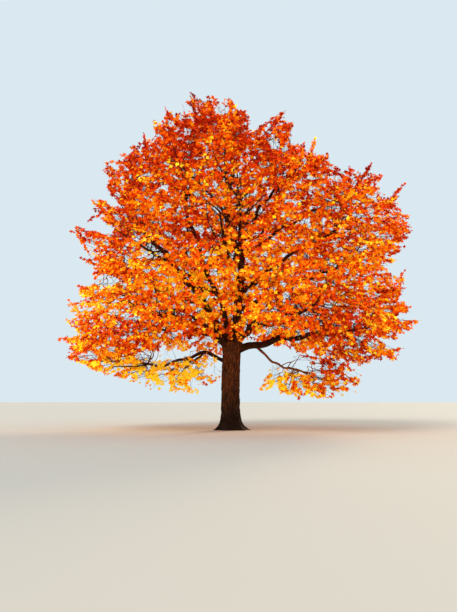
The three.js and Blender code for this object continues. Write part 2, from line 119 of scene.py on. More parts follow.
# Foliage: the source's spaces, stems and first twigs
CLEAR = 0.3 * MM
ENTRY_DEPTH = 0.62
CELL_MARGIN = 12 * MM
LIMB_MARGIN = 25 * MM
STRETCHES_PER_BOUGH = 10
STRETCHES_PER_TRUNK = 4
STEM_LEAD = 0.4
STEM_PAST_CENTRE = 0.22
STEM_FOOT_SHARE = 0.9
STEM_END_RADIUS = 14 * MM
TWIGS_PER_MASS = 4
TWIG_SPAN = 0.8
TWIG_FOOT_RADIUS = 19 * MM
TWIG_END_RADIUS = 9 * MM
TWIG_REACH = 0.42
TWIG_REACH_VARIES = 0.08
TWIG_TRIES = 8
TWIG_SHRINK = 0.08
TWIG_FORK_LEAD = 0.75
TWIG_FORKS = (0.12, 0.97)
TWIG_FREE_FROM = 0.25
FOLIAGE_SEED = 20
GOLDEN_TURN = math.pi * (3 - math.sqrt(5))

# The source's rows, in millimetres. azimuth, out and height place the centre of a limb's mass,
# which is long outward, wide sideways and tall. fork is how far along its parent the limb
# leaves, and foot and tip are its radii. tier names the pieces that the mass's twigs and leaves
# are joined into.
LimbRow = namedtuple("LimbRow", "name parent fork azimuth out height long wide tall arch sway "
                                "crook heave foot tip tier")
LIMB_TABLE = """
leader            trunk            0.93 235  250 10330 1500 1500 1150    0  190 250   0 165 40 top
upper_left        trunk            0.95 176 3700  7450 1850 1900 1500  260  120 -90   0 150 50 upper
upper_front_left  trunk            0.97 243 3500  7800 1750 1900 1500  620 -330  90   0  88 38 upper
low_right         trunk            0.9   -6 4380  3200 1950 1800 1180  110    0  60   0 122 66 low
hanging_right     low_right        0.24 -14 2600  1540 1600 1250  640 -190  -60  40   0  44 26 hanging
low_back_right    trunk            0.96  44 4100  3900 1750 1900 1150  330   90  60   0  92 40 low
low_back          trunk            0.94  92 4000  4000 1750 1900 1150  300  -90  70   0  90 40 low
low_back_left     trunk            0.92 139 4050  3700 1750 1850 1150  330  110 -60   0  88 40 low
low_left          trunk            0.73 183 4000  2120 1950 1850 1150  230  -60  60 190  62 34 hanging
hanging_left      low_left         0.3  196 1950  1800 1450 1250  560  -60   40  30   0  36 24 hanging
low_front_left    trunk            0.93 228 4000  3560 1750 1850 1100  330  110 -60   0  86 38 low
low_front_right   trunk            0.95 305 4050  3600 1750 1900 1100  330 -120  60   0  86 38 low
middle_right      leader           0.17  12 4420  5750 1850 1850 1400   60   60  90   0  82 40 middle
middle_back_right leader           0.22  63 4150  6000 1800 1900 1400   60   60  60   0  78 38 middle
middle_back       upper_left       0.22 113 4100  6000 1800 1900 1400   60  -90  60   0  80 38 middle
middle_left       upper_left       0.3  172 3950  5350 1850 1850 1350 -190    0  60   0  66 34 middle
middle_front_left upper_front_left 0.26 218 4050  5700 1800 1850 1350  -60   60 -60   0  62 34 middle
middle_front      leader           0.14 266 4000  5700 1750 1900 1350   60  160  60   0  72 34 middle
middle_front_right leader          0.24 318 4150  5800 1800 1850 1350   60  -60  60   0  74 36 middle
upper_right       leader           0.43   4 4150  8050 1800 1850 1450  120   60  60   0  70 34 upper
upper_back_right  leader           0.4   60 3500  8100 1750 1900 1450  120   60  60   0  68 34 upper
upper_back_left   upper_left       0.5  119 3450  8100 1750 1900 1450  120  -60  60   0  68 34 upper
upper_front_right leader           0.46 304 3550  7900 1750 1900 1450  120  -60  60   0  68 34 upper
top_right         leader           0.6   12 2000  9600 1500 1450 1200   60   60  40   0  56 28 top
top_left          leader           0.62 170 2250  9450 1550 1450 1200   90  -60  40   0  54 28 top
top_front         leader           0.66 276 2050  9600 1450 1450 1100   60   60  40   0  42 26 top
top_back          leader           0.64  88 2050  9700 1450 1500 1100   60   60  40   0  42 26 top
inner_front       leader           0.35 286 2000  7250 1400 1450 1150   60  -60  40   0  46 26 inner
inner_back        leader           0.33  92 2050  7350 1400 1450 1150   60   60  40   0  46 26 inner
"""

# Camera: where the photograph was taken from, and its focal length for a picture 36 mm high
EYE = np.array([-0.08, -19.3, 0.87])
TILT = math.radians(9.09)
FOCAL = 35.29
PICTURE = 36

# The plane: the upright one through the trunk, square to the front view, where all that is read
# from the photograph is given by how far to the right it shows, and its height.
# Outline of the crown there, clockwise from the top, in tenths of a metre
OUTLINE = np.array([
    (-8, 114), (-4, 111), (0, 112), (3, 107), (5, 108), (8, 100), (19, 108), (18, 106), (21, 103),
    (21, 96), (23, 95), (25, 97), (27, 92), (29, 98), (28, 92), (33, 92), (32, 89), (35, 87),
    (38, 86), (40, 88), (44, 84), (48, 89), (46, 85), (51, 84), (49, 80), (53, 75), (55, 80),
    (59, 82), (57, 74), (60, 71), (58, 68), (60, 67), (61, 64), (57, 62), (57, 56), (50, 53),
    (54, 49), (57, 52), (58, 49), (56, 47), (57, 44), (55, 42), (59, 39), (55, 36), (62, 35),
    (50, 27), (56, 26), (52, 22), (46, 22), (40, 20), (41, 18), (45, 18), (40, 14), (40, 12),
    (25, 9), (17, 11), (4, 14), (-11, 11), (-25, 13), (-47, 20), (-53, 23), (-52, 27), (-57, 29),
    (-52, 30), (-54, 37), (-53, 42), (-50, 41), (-48, 42), (-51, 47), (-46, 46), (-42, 49),
    (-45, 48), (-45, 52), (-49, 53), (-50, 56), (-47, 57), (-52, 61), (-51, 64), (-54, 65),
    (-53, 69), (-41, 63), (-39, 66), (-46, 71), (-47, 76), (-41, 75), (-40, 73), (-37, 74),
    (-42, 80), (-40, 83), (-46, 89), (-44, 91), (-39, 86), (-37, 88), (-38, 91), (-33, 95),
    (-32, 94), (-30, 100), (-28, 97), (-25, 98), (-27, 104), (-22, 103), (-23, 109), (-18, 107),
    (-14, 114), (-10, 111),
]) / 10
OUTLINE_EDGE = 0.05
OUTLINE_STEP = 0.02

# Holes right through the foliage: place in the plane and half sizes, in hundredths of a metre
HOLES = np.array([
    (150, 216, 105, 40), (55, 185, 45, 70), (-190, 236, 110, 14), (-265, 230, 45, 20),
    (-460, 230, 35, 12), (-50, 185, 22, 22), (395, 200, 18, 10), (-410, 480, 42, 20),
    (-470, 580, 25, 36), (-260, 580, 40, 27), (-30, 1080, 30, 22), (525, 775, 22, 14),
    (-150, 1080, 33, 16), (210, 980, 15, 22), (-520, 310, 27, 20), (520, 270, 24, 17),
    (150, 960, 20, 23), (410, 820, 16, 25), (130, 1010, 15, 20), (560, 360, 20, 14),
    (80, 1020, 19, 15), (350, 830, 26, 14), (510, 400, 30, 8), (470, 720, 12, 24),
    (240, 370, 26, 12), (520, 630, 22, 12), (60, 250, 16, 14), (270, 790, 14, 17),
    (-200, 1030, 16, 16), (-110, 660, 22, 14), (460, 270, 15, 17), (430, 700, 27, 9),
    (490, 510, 24, 9), (-150, 1000, 15, 16), (430, 590, 19, 11), (-190, 300, 18, 12),
    (25, 360, 10, 20), (-50, 315, 9, 12), (70, 295, 18, 10), (135, 325, 20, 9),
    (-175, 370, 15, 10), (-125, 400, 10, 12), (100, 710, 16, 10), (310, 510, 12, 14),
    (-340, 360, 10, 15), (220, 188, 50, 16),
]) / 100
HOLE_SHARE = 0.1
HOLE_TIPS = 0.1

# Thickets: places in the plane with half sizes, where all of the grid of sprays comes twice
THICKETS = np.array([(3.8, 1.7, 0.85, 0.55), (-4.0, 2.25, 1.1, 0.5), (5.3, 3.1, 0.7, 0.6)])
THICKET_DEEP = 1.8
THICKET_REACH = 0.35

# Pinholes: their size, how far the noise that opens them has to rise in the middle of the
# crown and at its top and sides, and how much less under it
PINHOLES = np.array([0.33, 0.23])
PINHOLES_FINE = np.array([0.15, 0.11])
PINHOLES_MIX = (0.5, 0.6)
PINHOLE_LAYERS = (0, 5)
PINHOLE_MIDDLE = 0.13
PINHOLE_RIM = 0.24
PINHOLE_LOW = 0.1
PINHOLE_TOP = (8.4, 10.2)
PINHOLE_SIDES = (3.2, 5.2)
PINHOLE_HEART = 0.2
PINHOLE_UNDER = (2.5, 1.9)

# Limbs that show through the leaves here and there: the share of the leaves before them that
# stays where they show, and the size of those places
VEILED_LIMBS = ("leader", "upper_left", "upper_front_left", "low_right", "middle_front_right",
                "upper_right", "low_left")
VEILED_SHARES = np.linspace(0.03, 0.97, 40)
VEIL_WIDTH = 0.02
VEIL_SHARE = 0.3
VEIL_SIZE = 0.55
VEIL_FROM = 0.12
VEIL_LAYER = 8

# Stems that stand dark before the leaves high in the crown: their bends from the foot up, in
# the plane, and the depths and radii of their two ends
STEMS = [
    (((0.34, 5.36), (0.25, 6.19), (0.35, 6.99), (0.25, 7.62), (0.22, 8.29), (0.19, 9.0)),
     (-0.55, -1.6), (0.07, 0.016)),
    (((0.25, 7.62), (-0.1, 8.15), (-0.42, 8.79), (-0.61, 9.28)), (-1.15, -2.0), (0.04, 0.012)),
    (((0.35, 6.99), (0.73, 7.3), (1.19, 7.8)), (-0.95, -1.5), (0.03, 0.01)),
    (((0.29, 6.6), (0.8, 6.89), (1.28, 7.41)), (-0.85, -1.5), (0.03, 0.01)),
    (((0.19, 6.54), (-0.35, 7.13), (-0.96, 7.69)), (-0.8, -1.5), (0.03, 0.01)),
    (((-0.45, 6.15), (-0.67, 6.61), (-0.8, 6.99), (-0.83, 7.59)), (-0.6, -1.4), (0.028, 0.01)),
    (((0.28, 7.41), (0.35, 7.94), (0.28, 8.61)), (-1.1, -1.6), (0.026, 0.01)),
    (((-2.7, 2.04), (-3.15, 1.98), (-3.8, 2.0)), (-0.15, -0.3), (0.028, 0.012)),
]
STEM_POINTS = 13
STEM_WIDTH = 0.08
STEM_SHARE = 0.08

# Crown as a whole: middle and half sizes, for what changes from its heart to its rim
CROWN_MIDDLE = np.array([0.0, 0.0, 6.2])
CROWN_SIZE = np.array([5.6, 5.4, 5.2])

# How far the ends of the sprays reach: height, how far the middle lies to the right, and radius.
# The crown is a little less deep than wide, and a mass's sprays pass its own surface.
REACH_HEIGHTS, REACH_MIDDLES, REACH_RADII = np.array([
    (0.9, 0.4, 2.4), (1.3, 0.4, 3.6), (1.8, 0.1, 4.7), (2.3, 0.0, 5.35), (2.8, 0.0, 5.6),
    (3.4, 0.35, 5.75), (4.2, 0.35, 5.6), (5.3, 0.4, 5.4), (6.6, 0.35, 5.65), (7.5, 0.55, 5.2),
    (8.2, 0.5, 4.75), (8.8, 0.2, 4.3), (9.3, 0.0, 3.6), (9.8, -0.15, 2.9), (10.2, -0.25, 2.35),
    (10.6, -0.4, 1.85), (10.9, -0.6, 1.3), (11.15, -0.85, 0.8), (11.35, -1.0, 0.3),
]).T
REACH_DEEP = 0.94
GRID_MARGIN = 2.2
MASS_DEPTH = 1.25

# Notches in the reach, and gaps that are more open than the rest
NOTCH_SIZE = np.array([1.7, 1.7, 0.62])
NOTCH_DEPTH = 0.3
GAP_SIZE = np.array([0.95, 0.95, 0.6])
GAP_PLACE = np.array([3, 8, 5])
GAP_DEPTH = 0.6
GAP_RISE = (0.1, 0.36)

# Slender sprays that stand out at the rim
RIM_FROM = 0.84
RIM_SHARE = 0.5
RIM_REACH = 0.26
RIM_SLENDER = 0.45
SLENDER_LENGTH = 0.75
SLENDER_OUT = 0.6

# Toward the sides of the outline the crown thins out: there the grid of sprays comes twice
SIDE_DEEP = 0.9
SIDE_THICK = 2.6
SIDE_TWICE = 0.65
SIDE_NOTCH = 0.3

# The lowest sprays stand closer together: below this height a share of the grid comes twice
TWICE_BELOW = 2.0
TWICE_SHARE = 0.35

# Heart of the crown, where short sprays grow straight from the boughs
HEART_RADIUS = 3.4
HEART_HEIGHTS = (2.9, 9.0)
HEART_SHARE = 0.5
HEART_NEAR_LIMB = 0.2
HEART_NODES = np.linspace(0.12, 1, 15)
HEART_THIN = 0.6

# Before the fork of the trunk the leaves stand closer
FORK_HEIGHTS = (2.65, 5.2)
FORK_RADIUS = 2.1
FORK_SHARE = 0.85
FORK_TWICE = 0.75

# Spires: shoots that stand out of the crown at the sharp corners of the outline
SPIRE_ANGLE = math.radians(100)
SPIRE_ABOVE = 2.1
SPIRE_STEPS = (0.1, 0.4, 0.75)
SPIRE_SPREAD = 0.7
SPIRE_LEAN = 0.5
SPIRE_SHAKE = 0.2
SPIRE_SLENDER = 0.22

# Headings of the sprays: away from the wood and out of the crown, raised toward its top, sunk
# in its low part, and lying flatter where the lowest hang
OUT_SHAPE = np.array([1, 1, 0.7])
OUT_RISE = 0.8
OUT_PULL = 0.55
LIFT = 0.34
LIFT_HEIGHTS = (6.0, 10.5)
SINK = 0.16
SINK_HEIGHTS = (4.5, 2.0)
LOW_FLAT = 0.35
LOW_HEIGHTS = (2.3, 1.9)
HEADING_SHAKE = 0.24
SPRAY_SIZES = (0.78, 1.22)

# Wood from the stems to the sprays. It keeps this far inside the outline where another way is
# found among the nearest nodes, and a long one that can't is left out.
AIM_LEAD = 0.28
AIM_SHARES = (0.02, 0.95)
TWIG_POINTS = 6
DETOUR = 2.0
WAY_SHARES = np.array([[1 / 3], [2 / 3], [1.0]])
WAY_BEND = 0.4
WAY_SHAKE = 0.03
WAY_DEEP = 0.16
WAYS_TRIED = 14
SHORT_WAY = 0.25
LONG_WAY = 0.6
SHOOT_TESTS = np.array([[0.3], [0.55], [0.8]])
SHOOT_SLACK = 0.12
THICKENING = 0.5
FORK_SWELL = 1.2

# Below this height other sprays may fork from a spray's own shoot
CHAIN_BELOW = 2.3
CHAIN_FORK = 0.45

# Bare wood near the outline gets a spray of its own from this length on
BARE_LENGTH = 0.4
BARE_DEEP = 0.55

# Sprays: a main shoot, side shoots to its left and right in turn, and leaves on all of them
SPRAY_SEED = 7
SPRAY_DROOP = 0.14
DROOP_VARIES = (0.4, 1.6)
SPRAY_ROLL = 0.35
SIDE_SHOOTS = 5
SHOOT_FORKS = (0.16, 0.82)
FORK_SHAKE = 0.05
SHOOT_ANGLE = math.radians(44)
SHOOT_ANGLE_VARIES = math.radians(9)
SHOOT_LONG = 0.56
SHOOT_SHORT = 0.26
SHOOT_SIZES = (0.75, 1.2)
SHOOT_SHAKE = 0.14
SHOOT_DROOP = 0.12
MAIN_POINTS = 4
LEAVES_ON_MAIN = 9
LEAVES_ON_SIDE = 5
MAIN_SLOTS = (0.2, 0.95)
SIDE_SLOTS = (0.28, 0.86)
SLOT_SHAKE = 0.03
LEAF_FAN = math.radians(56)
LEAF_FAN_VARIES = math.radians(16)
LEAF_KEPT = 0.9
LEAF_SHAKE = 0.22
LEAF_DROOP = 0.55
LEAF_SIZES = (0.76, 1.18)

# A leaf's six corners: along it and across it as shares of its length, and its lift off the
# plane that its midrib lies in. Root, left lobe, left notch, tip, right notch, right lobe.
LEAF_CORNERS = np.array([
    [0.0, 0.0, 0.0], [0.46, 0.5, 0.13], [0.55, 0.19, 0.05],
    [1.0, 0.0, -0.06], [0.55, -0.19, 0.05], [0.46, -0.5, 0.13],
])
LEAF_FACES = np.array([[0, 2, 1], [0, 3, 2], [0, 4, 3], [0, 5, 4]])
LEAF_STRETCH = (0.9, 1.1)

# How far a leaf may reach past the box of the solids
LEAF_MARGIN = 0.24

# How a leaf lies: with its spray, toward the light outside the crown, and by chance
FACE_SPRAY = 0.6
FACE_OUT = 0.35
FACE_SHAKE = 0.5

# Tones from darkest, 0, to lightest, 1: at a height and its fall per metre, drifts with their
# strength, pitch and place, and what is added in the heart and by chance. A leaf's tint is shaken
# once more by steps of the row of tints, and has a painted glow, the stronger the lighter it is.
TONE = 0.58
TONE_HEIGHT = 3.0
TONE_FALL = 0.036
TONE_DRIFT = 0.36
DRIFTS = ((0.7, 0.55, (0, 0, 0)), (0.8, 1.5, (9, 4, 2)))
HEART_TONE = 0.08
HEART_DEPTHS = (0.75, 0.35)
TONE_SHAKE = 0.13
LOW_TONE_SHAKE = 0.1
LOW_TONE_HEIGHTS = (2.6, 1.8)
TINT_SHAKE = 1.8
PAINTED_GLOW_DARKEST = 0.8
PAINTED_GLOW_STEP = 0.1

# Where the photograph's leaves are lighter or darker, partly the leaves' own tints and partly
# painted shadow in darker bands and painted light where light comes through: place in the plane,
# half sizes, and the shift of the tone, which fades outward
TINT_AND_PAINTED_LIGHT_PATCHES = np.array([
    (-2.6, 1.6, 2.6, 0.7, 0.44), (2.0, 1.4, 1.5, 0.6, 0.26), (3.5, 1.7, 0.8, 0.6, -0.2),
    (-0.1, 3.9, 1.1, 0.8, 0.02), (-0.2, 9.8, 2.4, 1.4, -0.05), (0.3, 7.6, 1.6, 1.3, 0.08),
    (-2.4, 4.2, 2.2, 1.2, 0.04), (-3.0, 6.6, 1.6, 1.0, 0.04), (3.8, 3.5, 1.9, 1.0, -0.15),
    (5.3, 3.1, 0.9, 1.2, -0.12), (4.4, 6.2, 1.4, 1.6, 0.1), (3.6, 7.6, 1.8, 1.0, -0.12),
    (-2.6, 2.9, 1.8, 0.4, -0.1), (-4.4, 6.0, 1.0, 1.8, -0.06), (0.3, 6.2, 1.8, 0.9, -0.03),
    (-1.6, 6.4, 1.2, 0.6, -0.18), (-3.6, 3.1, 1.5, 0.5, -0.16),
])
SHADE_FADE = 0.8

# Bark: rings and sides of the limbs' meshes, and the relief's ridges along the limb. A bough has
# more sides if its foot is thicker than THICK_FOOT, in millimetres, and more rings if it leaves
# the trunk.
TRUNK_RINGS = 150
RING_CROWDING = 1.7
THICK_FOOT = 100
BOUGH_SIDES = {True: 22, False: 14}
BOUGH_RINGS = {True: 42, False: 26}
# Boughs whose bark is lightened with painted light
LIT_BOUGHS = ("hanging_right",)
FOOT_RELIEF = 0.45
FOOT_RELIEF_TO = 0.1
BOUGH_RELIEF = 0.11
RIDGE_WIDTH = 1.15
RIDGE_LENGTH = 5.5
RIDGE_BEND = 0.5
BEND_PITCH = 0.5
BEND_PLACES = ((0, 0, 0), (7, 0, 0))
RIDGE_SHARP = 2.6
SCALE_RELIEF = 0.35
SCALE_PITCH = 2.3
RING_STEP = 1e-3

# Bark's pattern: pitch of the ridges along the limb, scales in a plate width, patches of lichen
# in a metre, and the heights over which its colour goes from the shade at its foot to that at its
# top, which on the boughs is painted shade and painted light
RIDGE_RUN = 0.16
SCALES = 1.6
LICHEN_PATCHES = 5.5
FOOT_TO_TOP_HEIGHTS = (0.1, 2.1)

# Twigs: sides of their tubes, the shoots' thickness as shares of the thinnest one's, and how
# upright a tube is whose sides are counted from the right
STEM_SIDES = 6
TWIG_SIDES = 3
MAIN_SHOOT_THICK = 0.95
SIDE_SHOOT_THICK = 0.62
SHOOT_TAPER = 0.45
STEEP = 0.85


def linear(code):
    """An sRGB hex colour as linear red, green and blue."""
    parts = [int(code[i:i + 2], 16) / 255 for i in (1, 3, 5)]
    return [p / 12.92 if p <= 0.04045 else ((p + 0.055) / 1.055) ** 2.4 for p in parts]


# Leaf colours from the darkest to the lightest, with what each gives the eye. The darker ones
# stand partly for painted shade and the lighter ones partly for painted light coming through.
LEAF_TINTS = {
    "russet": ("#921800", "dry brown red, in the depths of a spray"),
    "brick": ("#B02200", "dull red of a leaf in shade"),
    "scarlet": ("#CC3002", "deep red of the top of the crown"),
    "vermilion": ("#E04002", "red orange, the tree's main colour"),
    "flame": ("#EF5A04", "warm orange of a leaf in light"),
    "tangerine": ("#F97C06", "clear orange, half way to yellow"),
    "amber": ("#FEA20C", "yellow orange where light comes through"),
    "honey": ("#FFC214", "warm yellow of thin leaves"),
    "gold": ("#FFDE30", "palest yellow, on the lowest and innermost leaves"),
}


def length(label, words, default, low, high):
    return FloatProperty(name=label, description=words, default=default, min=low, max=high,
                         unit="LENGTH", subtype="DISTANCE")


def tint(label, words, code):
    return FloatVectorProperty(name=label, description=words, default=linear(code), min=0, max=1,
                               subtype="COLOR")


class MapleBark(bpy.types.PropertyGroup):
    """Sizes and colours of the bark"""

    plate_width: length(
        "Plate width", "Width of one ridge of bark across the trunk", 0.045, 0.01, 0.2)
    plate_depth: length(
        "Plate depth", "Depth of the furrows between the ridges", 0.022, 0.0, 0.06)
    ridge: tint("Ridge", "Weathered face of a ridge", "#9C5A26")
    # The furrow's dark colour is partly the cork's own and partly painted shade in the hollows
    furrow: tint("Furrow", "Shaded cork between the ridges", "#2C160C")
    old_twig: tint(
        "Old twig", "Grey brown wood of a twig that has been there for years", "#341A0F")
    # The low twigs' pale colour is painted light
    painted_lit_low_twig: tint(
        "Low twig", "Dry, pale wood of the twigs that hang under the crown", "#96602F")
    young_twig: tint("Young twig", "Red brown skin of the year's own shoots", "#4A1D12")


class MapleLeaves(bpy.types.PropertyGroup):
    """Sizes and colours of the leaves and sprays"""

    leaf_length: length(
        "Leaf length", "Length of a leaf from its root to its tip", 0.118, 0.05, 0.3)
    spray_length: length("Spray length", "Length of a spray's main shoot", 0.72, 0.2, 1.5)
    spray_spacing: length(
        "Spray spacing", "Distance from the end of one spray to the next", 0.47, 0.3, 1.5)
    shoot_radius: length(
        "Shoot radius", "Radius of the thinnest shoot, larger than life", 0.0055, 0.001, 0.02)
    # Painted glow: a leaf gives off this share of its own colour, standing in for light from behind
    glow: FloatProperty(
        name="Glow", description="Share of its colour that a leaf passes on from behind",
        default=0.19, min=0, max=1, subtype="FACTOR")
    __annotations__.update({
        name: tint(name.capitalize(), words.capitalize(), code)
        for name, (code, words) in LEAF_TINTS.items()
    })


class MapleSettings(bpy.types.PropertyGroup):
    """Everything about the maple that a user would change"""

    bark: PointerProperty(type=MapleBark)
    leaves: PointerProperty(type=MapleLeaves)
    trunk_sides: IntProperty(
        name="Trunk sides", description="Sides of the trunk's bark mesh", default=132, min=24,
        max=256)


# The source's rule, in metres


class Stream:
    """The source's repeatable numbers from 0 to 1 for one seed."""

    def __init__(self, seed):
        self.state = (seed * 2654435761) & WORD

    def next(self):
        self.state = (self.state + 0x6D2B79F5) & WORD
        mixed = ((self.state ^ (self.state >> 15)) * (self.state | 1)) & WORD
        mixed ^= (mixed + (mixed ^ (mixed >> 7)) * (mixed | 61)) & WORD
        return (mixed ^ (mixed >> 14)) / 2**32

    def spread(self):
        return 2 * self.next() - 1


def unit(vectors):
    return vectors / np.linalg.norm(vectors, axis=-1, keepdims=True)


def outward_at(azimuth):
    turn = math.radians(azimuth)
    return np.array([math.cos(turn), math.sin(turn), 0.0])


def curve_at(t, start, lead, end):
    """A curve from its start, drawn toward its lead, to its end."""
    return np.square(1 - t) * start + 2 * t * (1 - t) * lead + t * t * end


class TrunkLine:
    """Centre line of the trunk, with its slight lean to the right."""

    def at(self, t):
        t = np.asarray(t, float)[..., None]
        lean = TRUNK_LEAN * (t * t - LEAN_BOW * np.sin(np.pi * t))
        return lean * RIGHT + t * TRUNK_HEIGHT * UP


class BoughLine:
    """Centre line of a bough: straight, with an arch, a sway, a crook and kinks."""

    def __init__(self, foot, tip, row, stream):
        self.foot = foot
        self.run = tip - foot
        self.side = outward_at(row.azimuth + 90)
        self.row = row
        self.kink = np.linalg.norm(self.run) * KINK_SIZE
        self.phase = [stream.next() * FULL_TURN, stream.next() * FULL_TURN]

    def at(self, t):
        t = np.asarray(t, float)[..., None]
        bow, wave = np.sin(np.pi * t), np.sin(2 * np.pi * t)
        sideways = (self.row.sway * MM * bow + self.row.crook * MM * wave
                    + self.kink * bow * np.sin(KINKS_SIDEWAYS * np.pi * t + self.phase[0]))
        upwards = (self.row.arch * MM * bow + self.row.heave * MM * wave
                   + self.kink * bow * np.sin(KINKS_UPWARD * np.pi * t + self.phase[1]))
        return self.foot + self.run * t + self.side * sideways + UP * upwards


def tangent_at(line, t, step=1e-4):
    t = np.asarray(t, float)
    return unit(line.at(np.minimum(t + step, 1)) - line.at(np.maximum(t - step, 0)))


def trunk_radius(height, angle):
    """Trunk radius: taper, root flare with buttresses and a long root, and fork collar."""
    t = height / TRUNK_HEIGHT
    taper = TRUNK_FOOT_RADIUS + (TRUNK_FORK_RADIUS - TRUNK_FOOT_RADIUS) * t
    ridge = np.cos(BUTTRESSES * (angle - BUTTRESS_TURN))
    long_root = LONG_ROOT_REACH * np.maximum(0, np.cos(angle)) ** 3
    flare = FLARE_REACH * (1 + BUTTRESS_DEPTH * ridge + long_root)
    collar = COLLAR_SWELL * TRUNK_FORK_RADIUS
    return (taper + flare * np.exp(-height / FLARE_HEIGHT)
            + collar * np.exp(-((TRUNK_HEIGHT - height) ** 2) / COLLAR_HEIGHT**2))


class Mass:
    """Centre, half sizes and own directions of the mass of foliage on a limb."""

    def __init__(self, row):
        out = outward_at(row.azimuth)
        self.centre = out * row.out * MM + UP * row.height * MM
        self.axes = np.array([out, outward_at(row.azimuth + 90), UP])
        self.size = np.array([row.long, row.wide, row.tall]) * MM
        self.weight = self.size.mean()

    def depth(self, points):
        """0 at the centre and 1 on the surface of the mass."""
        return np.linalg.norm((points - self.centre) @ self.axes.T / self.size, axis=-1)


class Limb:
    """A bough with its line, its mass and its stream of numbers."""

    def __init__(self, index, row, parent_line):
        self.row = row
        self.stream = Stream(FOLIAGE_SEED + index)
        self.mass = Mass(row)
        foot = parent_line.at(row.fork)
        inward = foot - self.mass.centre
        tip = self.mass.centre + inward * ENTRY_DEPTH / self.mass.depth(foot)
        self.line = BoughLine(foot, tip, row, self.stream)

    def radius(self, t):
        swell = 1 + FOOT_SWELL * np.exp(-t / FOOT_SWELL_LENGTH)
        return (self.row.foot + (self.row.tip - self.row.foot) * t**BOUGH_TAPER) * swell * MM


def grow_limbs():
    """All limbs by name, each from its row of the table and from its parent's line."""
    trunk, limbs = TrunkLine(), {}
    for index, line in enumerate(LIMB_TABLE.strip().splitlines()):
        name, parent, *numbers, tier = line.split()
        row = LimbRow(name, parent, *map(float, numbers), tier)
        limbs[name] = Limb(index, row, trunk if parent == "trunk" else limbs[parent].line)
    return limbs


def stretches_of(line, steps, radius_at):
    ends = line.at(np.linspace(0, 1, steps + 1))
    return [(ends[i], ends[i + 1], radius_at(i / steps)) for i in range(steps)]


LIMBS = grow_limbs()
CENTRES = np.array([limb.mass.centre for limb in LIMBS.values()])
WEIGHTS = np.array([limb.mass.weight for limb in LIMBS.values()])
STRETCHES = stretches_of(TrunkLine(), STRETCHES_PER_TRUNK, lambda t: TRUNK_FOOT_RADIUS) + [
    stretch for limb in LIMBS.values()
    for stretch in stretches_of(limb.line, STRETCHES_PER_BOUGH, limb.radius)]


def distance_between(a, b, c, d):
    """Shortest distance between two straight stretches."""
    u, v, w = b - a, d - c, a - c
    uu, uv, vv = u @ u, u @ v, v @ v
    across = uu * vv - uv * uv
    first = np.clip((uv * (v @ w) - vv * (u @ w)) / across, 0, 1) if across > 0 else 0
    t = np.clip((uv * first + v @ w) / vv, 0, 1)
    s = np.clip((uv * t - u @ w) / uu, 0, 1)
    return np.linalg.norm(w + u * s - v * t)


def clear_of_limbs(start, end, radius):
    return all(distance_between(start, end, a, b) > radius + r + LIMB_MARGIN
               for a, b, r in STRETCHES)


def in_own_space(mass, point, margin):
    others = np.any(CENTRES != mass.centre, axis=1)
    apart = np.linalg.norm(CENTRES[others] - mass.centre, axis=1)
    own = np.sum((point - mass.centre) ** 2) - mass.weight**2
    theirs = np.sum((point - CENTRES[others]) ** 2, axis=1) - WEIGHTS[others] ** 2
    return bool(np.all((theirs - own) / (2 * apart) >= margin))


def grow_stem(limb):
    """The foot of a mass's stem, its straight run, and its curve's three points."""
    heading = tangent_at(limb.line, 1)
    start = limb.line.at(1) + heading * CLEAR
    run = (limb.mass.centre - start) * (1 + STEM_PAST_CENTRE)
    lead = start + heading * STEM_LEAD * np.linalg.norm(run)
    return start, run, (start, lead, start + run)


def grow_first_twigs(limb, start, run, stem):
    """The source's own twigs: where each forks from the stem, and its tip."""
    mass, stream, twigs = limb.mass, limb.stream, []
    first_turn = stream.next() * FULL_TURN
    for k in range(TWIGS_PER_MASS):
        level = TWIG_SPAN * (1 - (2 * k + 1) / TWIGS_PER_MASS)
        ring = math.sqrt(1 - level * level)
        turn = first_turn + k * GOLDEN_TURN
        aim = np.array([level, ring * math.cos(turn), ring * math.sin(turn)])
        for attempt in range(TWIG_TRIES):
            varied = 1 + TWIG_REACH_VARIES * stream.spread()
            reach = TWIG_REACH * (1 - TWIG_SHRINK * attempt) * varied
            tip = mass.centre + (aim * mass.size * reach) @ mass.axes
            on_stem = (tip - start) @ run / (run @ run)
            off_stem = np.linalg.norm(tip - curve_at(min(max(on_stem, 0), 1), *stem))
            lead = TWIG_FORK_LEAD * off_stem / np.linalg.norm(run)
            fork = curve_at(np.clip(on_stem - lead, *TWIG_FORKS), *stem)
            away = fork + (tip - fork) * TWIG_FREE_FROM
            if (in_own_space(mass, tip, CELL_MARGIN + TWIG_FOOT_RADIUS)
                    and clear_of_limbs(away, tip, TWIG_FOOT_RADIUS)):
                twigs.append((fork, tip))
                break
    return twigs


# Places: what the photograph shows there, and where the crown is close or open


Wood = namedtuple("Wood", "lines radii")
Sprays = namedtuple("Sprays", "feet headings lengths tips widths free")
Growth = namedtuple("Growth", "bears mains sides roots pointing planes sizes tones")


def as_seen(points):
    """Where points show in the plane, from the camera: x and z."""
    share = EYE[1] / (EYE[1] - points[:, 1])
    return (EYE + (points - EYE) * share[:, None])[:, [0, 2]]


def in_space(seen, depth):
    """The reverse of as_seen: the points at given depths that show at a place in the plane."""
    flat = np.stack([seen[:, 0], np.zeros(len(seen)), seen[:, 1]], 1)
    return EYE + (flat - EYE) * ((EYE[1] - depth) / EYE[1])[:, None]


